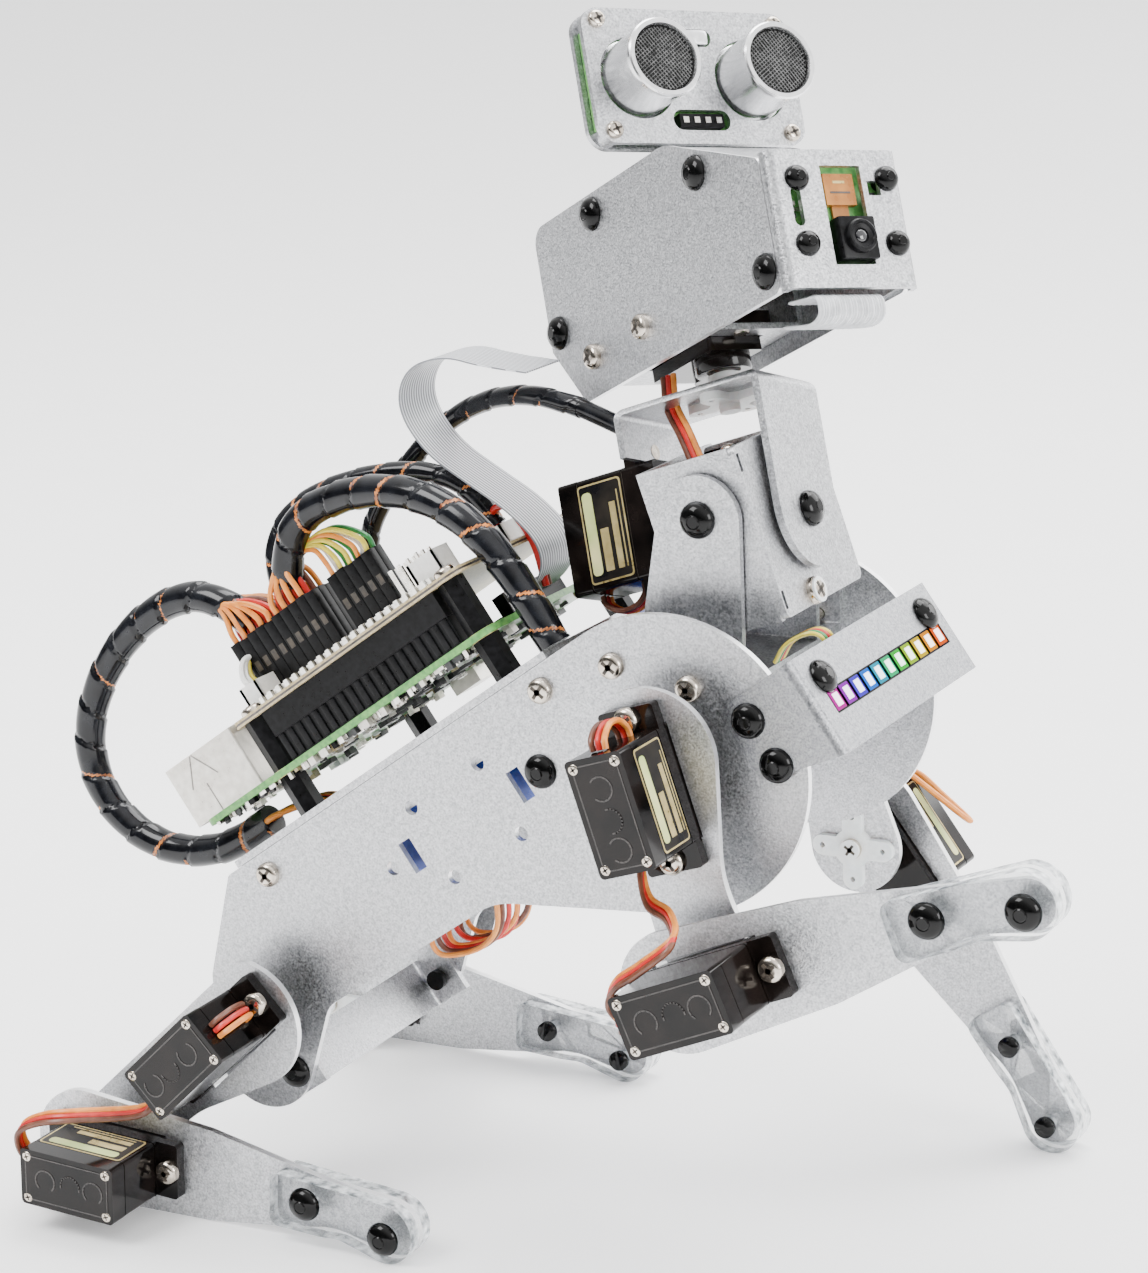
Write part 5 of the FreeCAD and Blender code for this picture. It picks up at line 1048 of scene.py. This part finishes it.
LIGHT_BACK, LAMP_MIDDLE, LAMP_LEVEL, LAMP_PITCH = CHEST_FACE - SHEET - 0.2, 0.4, -9.4, 4.9
bar = Piece(TORSO)
bar.slab([(-28.6, -15), (29.4, -15), (29.4, -1), (-28.6, -1)], LIGHT_BACK - 1.4, LIGHT_BACK, GREEN,
         Matrix(((0, 0, 1, 0), (1, 0, 0, 0), (0, 1, 0, 0), (0, 0, 0, 1))))
bar.block((0.1, 56, 5.6), (LIGHT_BACK + 0.05, LAMP_MIDDLE, LAMP_LEVEL), BLACK)
for index, (lamp, core) in enumerate(zip(LAMPS, HOT)):
    y = LAMP_MIDDLE + (index - (len(LAMPS) - 1) / 2) * LAMP_PITCH
    for sizes, out, material, bevel in (((1.5, 3.9, 4.2), 0.75, BLACK, 0),
                                        ((0.35, 3.6, 4.0), 1.55, lamp, 0.12),
                                        ((0.30, 2.3, 2.7), 1.65, core, 0.14)):
        bar.block(sizes, (LIGHT_BACK + out, y, LAMP_LEVEL), material, bevel=bevel)
bar.finish("light_board_look", "torso", ("light_board",))

# ---------------------------------------------------------------- head

CAMERA_BACK = FACE - 1.2 - 2.2
eye = Piece(HEAD)
eye.block((1.0, 23.6, 21.5), (CAMERA_BACK, 0.3, 1.4), GREEN)
eye.block((4.2, 8.0, 8.2), (CAMERA_BACK + 2.6, 1.9, -3.0), BLACK, bevel=0.5)
face_on = facing(CAMERA_BACK + 4.7, 1.9, -3.0, FORWARD)
eye.lathe([(0, 0), (3.2, 0), (3.2, 1.0), (2.9, 1.25), (2.5, 1.25), (2.3, 0.9), (1.5, 0.7), (1.4, 0.5),
           (0, 0.5)], BLACK, face_on)
eye.lathe([(0, 0.5), (1.35, 0.5), (1.2, 0.75), (0.8, 0.95), (0, 1.05)], LENS, face_on)
eye.block((1.4, 6.6, 6.0), (CAMERA_BACK + 1.3, 1.2, 7.0), FLEX)
eye.block((0.5, 3.6, 6.0), (CAMERA_BACK + 0.9, 1.2, 2.4), FLEX)
eye.block((0.15, 2.6, 0.5), (CAMERA_BACK + 2.0, 1.2, 8.4), GOLD)
eye.block((0.15, 4.4, 0.35), (CAMERA_BACK + 2.02, 1.2, 6.4), CASE_MARK)
for y, z in ((-9.4, 4.6), (-9.6, 2.2), (-8.6, 3.4), (7.4, 7.6), (8.6, 6.2), (6.0, 0.5), (6.2, -3.4),
             (-3.0, 10.0)):
    eye.block((0.8, 1.5, 0.8), (CAMERA_BACK + 0.9, y, z), SEED.choice((CHIP, PIN, STEEL)))
eye.block((2.6, 13, 4), (CAMERA_BACK - 1.8, 0.3, -6.6), BLACK)
eye.finish("camera_look", "head", ("camera_module",))

SONAR_X, CAN_MIDDLE, CAN_RADIUS, CAN_LONG, WEAVE_PITCH = 5.3, 43.5, 8.0, 13.6, 0.66
sonar = Piece(HEAD)
sonar.block((1.4, 45, 20), (SONAR_X - 0.7, 0, CAN_MIDDLE), GREEN)
for y in (-13, 13):
    can = facing(SONAR_X, y, CAN_MIDDLE, FORWARD)
    shell = [(CAN_RADIUS + out, z) for out, z in (
        (0.2, 0), (0.2, 0.8), (-0.25, 1.2), (-0.25, 11.6), (0, 12.2), (0, 13.3), (-0.3, CAN_LONG),
        (-1.1, CAN_LONG), (-1.3, 13.2), (-1.5, 11.9))]
    sonar.lathe([(0, 0), *shell, (0, 11.9)], BRIGHT, can, sides=64)
    sonar.lathe([(0, 11.95), (CAN_RADIUS - 1.5, 11.95), (CAN_RADIUS - 1.6, 12.3), (4.4, 12.75), (0, 12.95)],
                MESH, can, sides=48)
    for step in range(-9, 10):
        off, rise = step * WEAVE_PITCH, 12.42 + 0.0064 * (81 - step * step)
        width = 2 * math.sqrt(max(0.1, (CAN_RADIUS - 1.7) ** 2 - off ** 2))
        for turn in (35, 125):
            sonar.block((width, 0.15, 0.12), (0, off, rise), WEAVE, can @ spin("Z", turn))
sonar.block((3.2, 8.4, 3.2), (SONAR_X + 1.6, 0, 52.0), BRIGHT, bevel=0.9)
sonar.block((2.4, 10.0, 2.6), (SONAR_X + 1.2, 0, 35.0), BLACK)
for index in range(4):
    sonar.block((0.4, 1.2, 1.2), (SONAR_X + 2.5, (index - 1.5) * 2.5, 35.0), PIN)
for y in (-21, 21):
    for z in (38, 41.4, 44.8, 48.2):
        sonar.block((0.9, 2.0, 1.0), (SONAR_X + 0.4, y, z), SEED.choice((CHIP, PIN, STEEL)))
sonar.finish("sonar_look", "head", ("sonar_module",))
paint("sonar_plates", ALUMINIUM)

touch = Piece(HEAD)
touch.block((27, 23, 1.4), (-19.5, 0, 28.0), BLACK, bevel=0.2)
touch.block((26.6, 22.6, 0.1), (-19.5, 0, 28.72), GREEN)
touch.block((22, 10, 0.12), (-19.5, 0, 28.76), GOLD)
touch.block((4.6, 6.4, 3.2), (-30.6, 0, 30.2), WHITE)
touch.finish("touch_board_look", "head", ("touch_board",))

# ribbon folded under the face
fold = Piece(HEAD)
FOLD_BEND = [(-9.0, -12.4), (-4.0, -13.2), (-0.6, -13.9), (0.3, -15.6), (-0.4, -17.6), (-4.0, -18.2),
             (-12.0, -16.2)]
for index in range(24):
    y, radius = -9.0 + index * 0.61, 0.42 if index % 2 else 0.28
    fold.strand([(FACE + out, y, z) for out, z in FOLD_BEND], radius, FOLD, sides=6)
fold.finish("camera_ribbon_fold", "head")

# ---------------------------------------------------------------- leads


def lead(name, points, way, spread=WIRE_PITCH):
    """Servo lead: a flat trio of wires, side by side along way. Points in metres, spread in millimetres."""
    trio = Piece(Matrix())
    for index, colour in enumerate((BROWN, RED, ORANGE)):
        shift = way * (index - 1) * spread * MM
        trio.strand([point + shift for point in points], 0.62 * MM, colour)
    return trio.finish(name)


def placed(link, *points):
    """Points of a link's frame, in metres."""
    return [link @ Vector(point) for point in points]


for leg, side in LEGS.items():
    thigh, shin = THIGH[leg] @ on_plate(side, HIP_FACE), SHIN[leg] @ on_plate(side, KNEE_FACE)
    if leg.startswith("front"):
        run = placed(thigh, (15.5, 5.0 * side, 3.2), (20.0, 5.5 * side, 5.5), (24.5, 3.0 * side, 10.0),
                     (27.0, -2.5 * side, 14.0))
        run += placed(shin, (9.0, -12.0 * side, 14.0), (1.0, -9.2 * side, 15.5), (-5.0, -7.6 * side, 15.0),
                      (-8.4, -4.6 * side, 14.0), (-8.0, -1.0 * side, 12.5), (-5.4, 0, 11.5))
    else:
        run = placed(thigh, (16.0, 0.0, 8.0), (20.5, 0.0, 9.0), (25.5, -1.0 * side, 11.0))
        run += placed(shin, (3.0, -12.5 * side, 12.0), (-4.0, -11.0 * side, 14.0), (-8.6, -8.0 * side, 14.5),
                      (-9.0, -3.0 * side, 13.0), (-5.4, -1.0 * side, 12.0))
    trio = lead(leg + "_lead", run, (SHIN[leg].to_3x3() @ Vector((0, -side * 0.8, 0.5))).normalized())
    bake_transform(trio)

run = placed(HEAD, (-8.5, -7.5, -12.0), (-7.5, -8.5, -18.5), (-3.0, -9.5, -25.0), (-0.5, -9.5, -31.0))
trio = lead("head_leads", run, (HEAD.to_3x3() @ Vector((1, 0.3, 0))).normalized(), 1.4)
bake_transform(trio)

# spare cable length folded up inside the body, between the side plates
loops = Piece(TORSO)
for index, colour in enumerate((ORANGE, BROWN, RED, ORANGE, RED, BROWN, ORANGE)):
    y, grow = -10 + index * 2.4, SEED.uniform(-1.0, 1.0)
    loops.strand([(-8 + grow, y, 1), (-10 + grow, y, -6), (-15 + grow, y + 1, -12.0),
                  (-22, y + 1.5, -13.5 + grow / 2), (-29 - grow, y, -10.5), (-28, y - 1, -6),
                  (-20, y - 1, -6 + grow)], 0.6, colour)
loops.finish("belly_wires", "torso")

sleeve = Piece(Matrix())
run = placed(TORSO, (58.6, 5.6, 68.2), (60.4, 5.2, 66.2))
run += placed(YOKE, (-26.0, -2.6, 27.6), (-20.4, -1.6, 23.4))
sleeve.strand(run, 1.9 * MM, WRAP, sides=14)
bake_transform(sleeve.finish("head_loop_tail"))
base = Piece(NECK)
for index, colour in enumerate((YELLOW, LEAF, RED, YELLOW)):
    y = -13.5 + index * 1.2
    base.strand([(14.0, y, -31), (14.8, y - 1.0, -28.2), (12.8, y - 2.2, -26.6), (7.5, y - 2.0, -27.6),
                 (3.0, y, -30.6)], 0.42, colour)
base.finish("neck_base_wires", "torso")
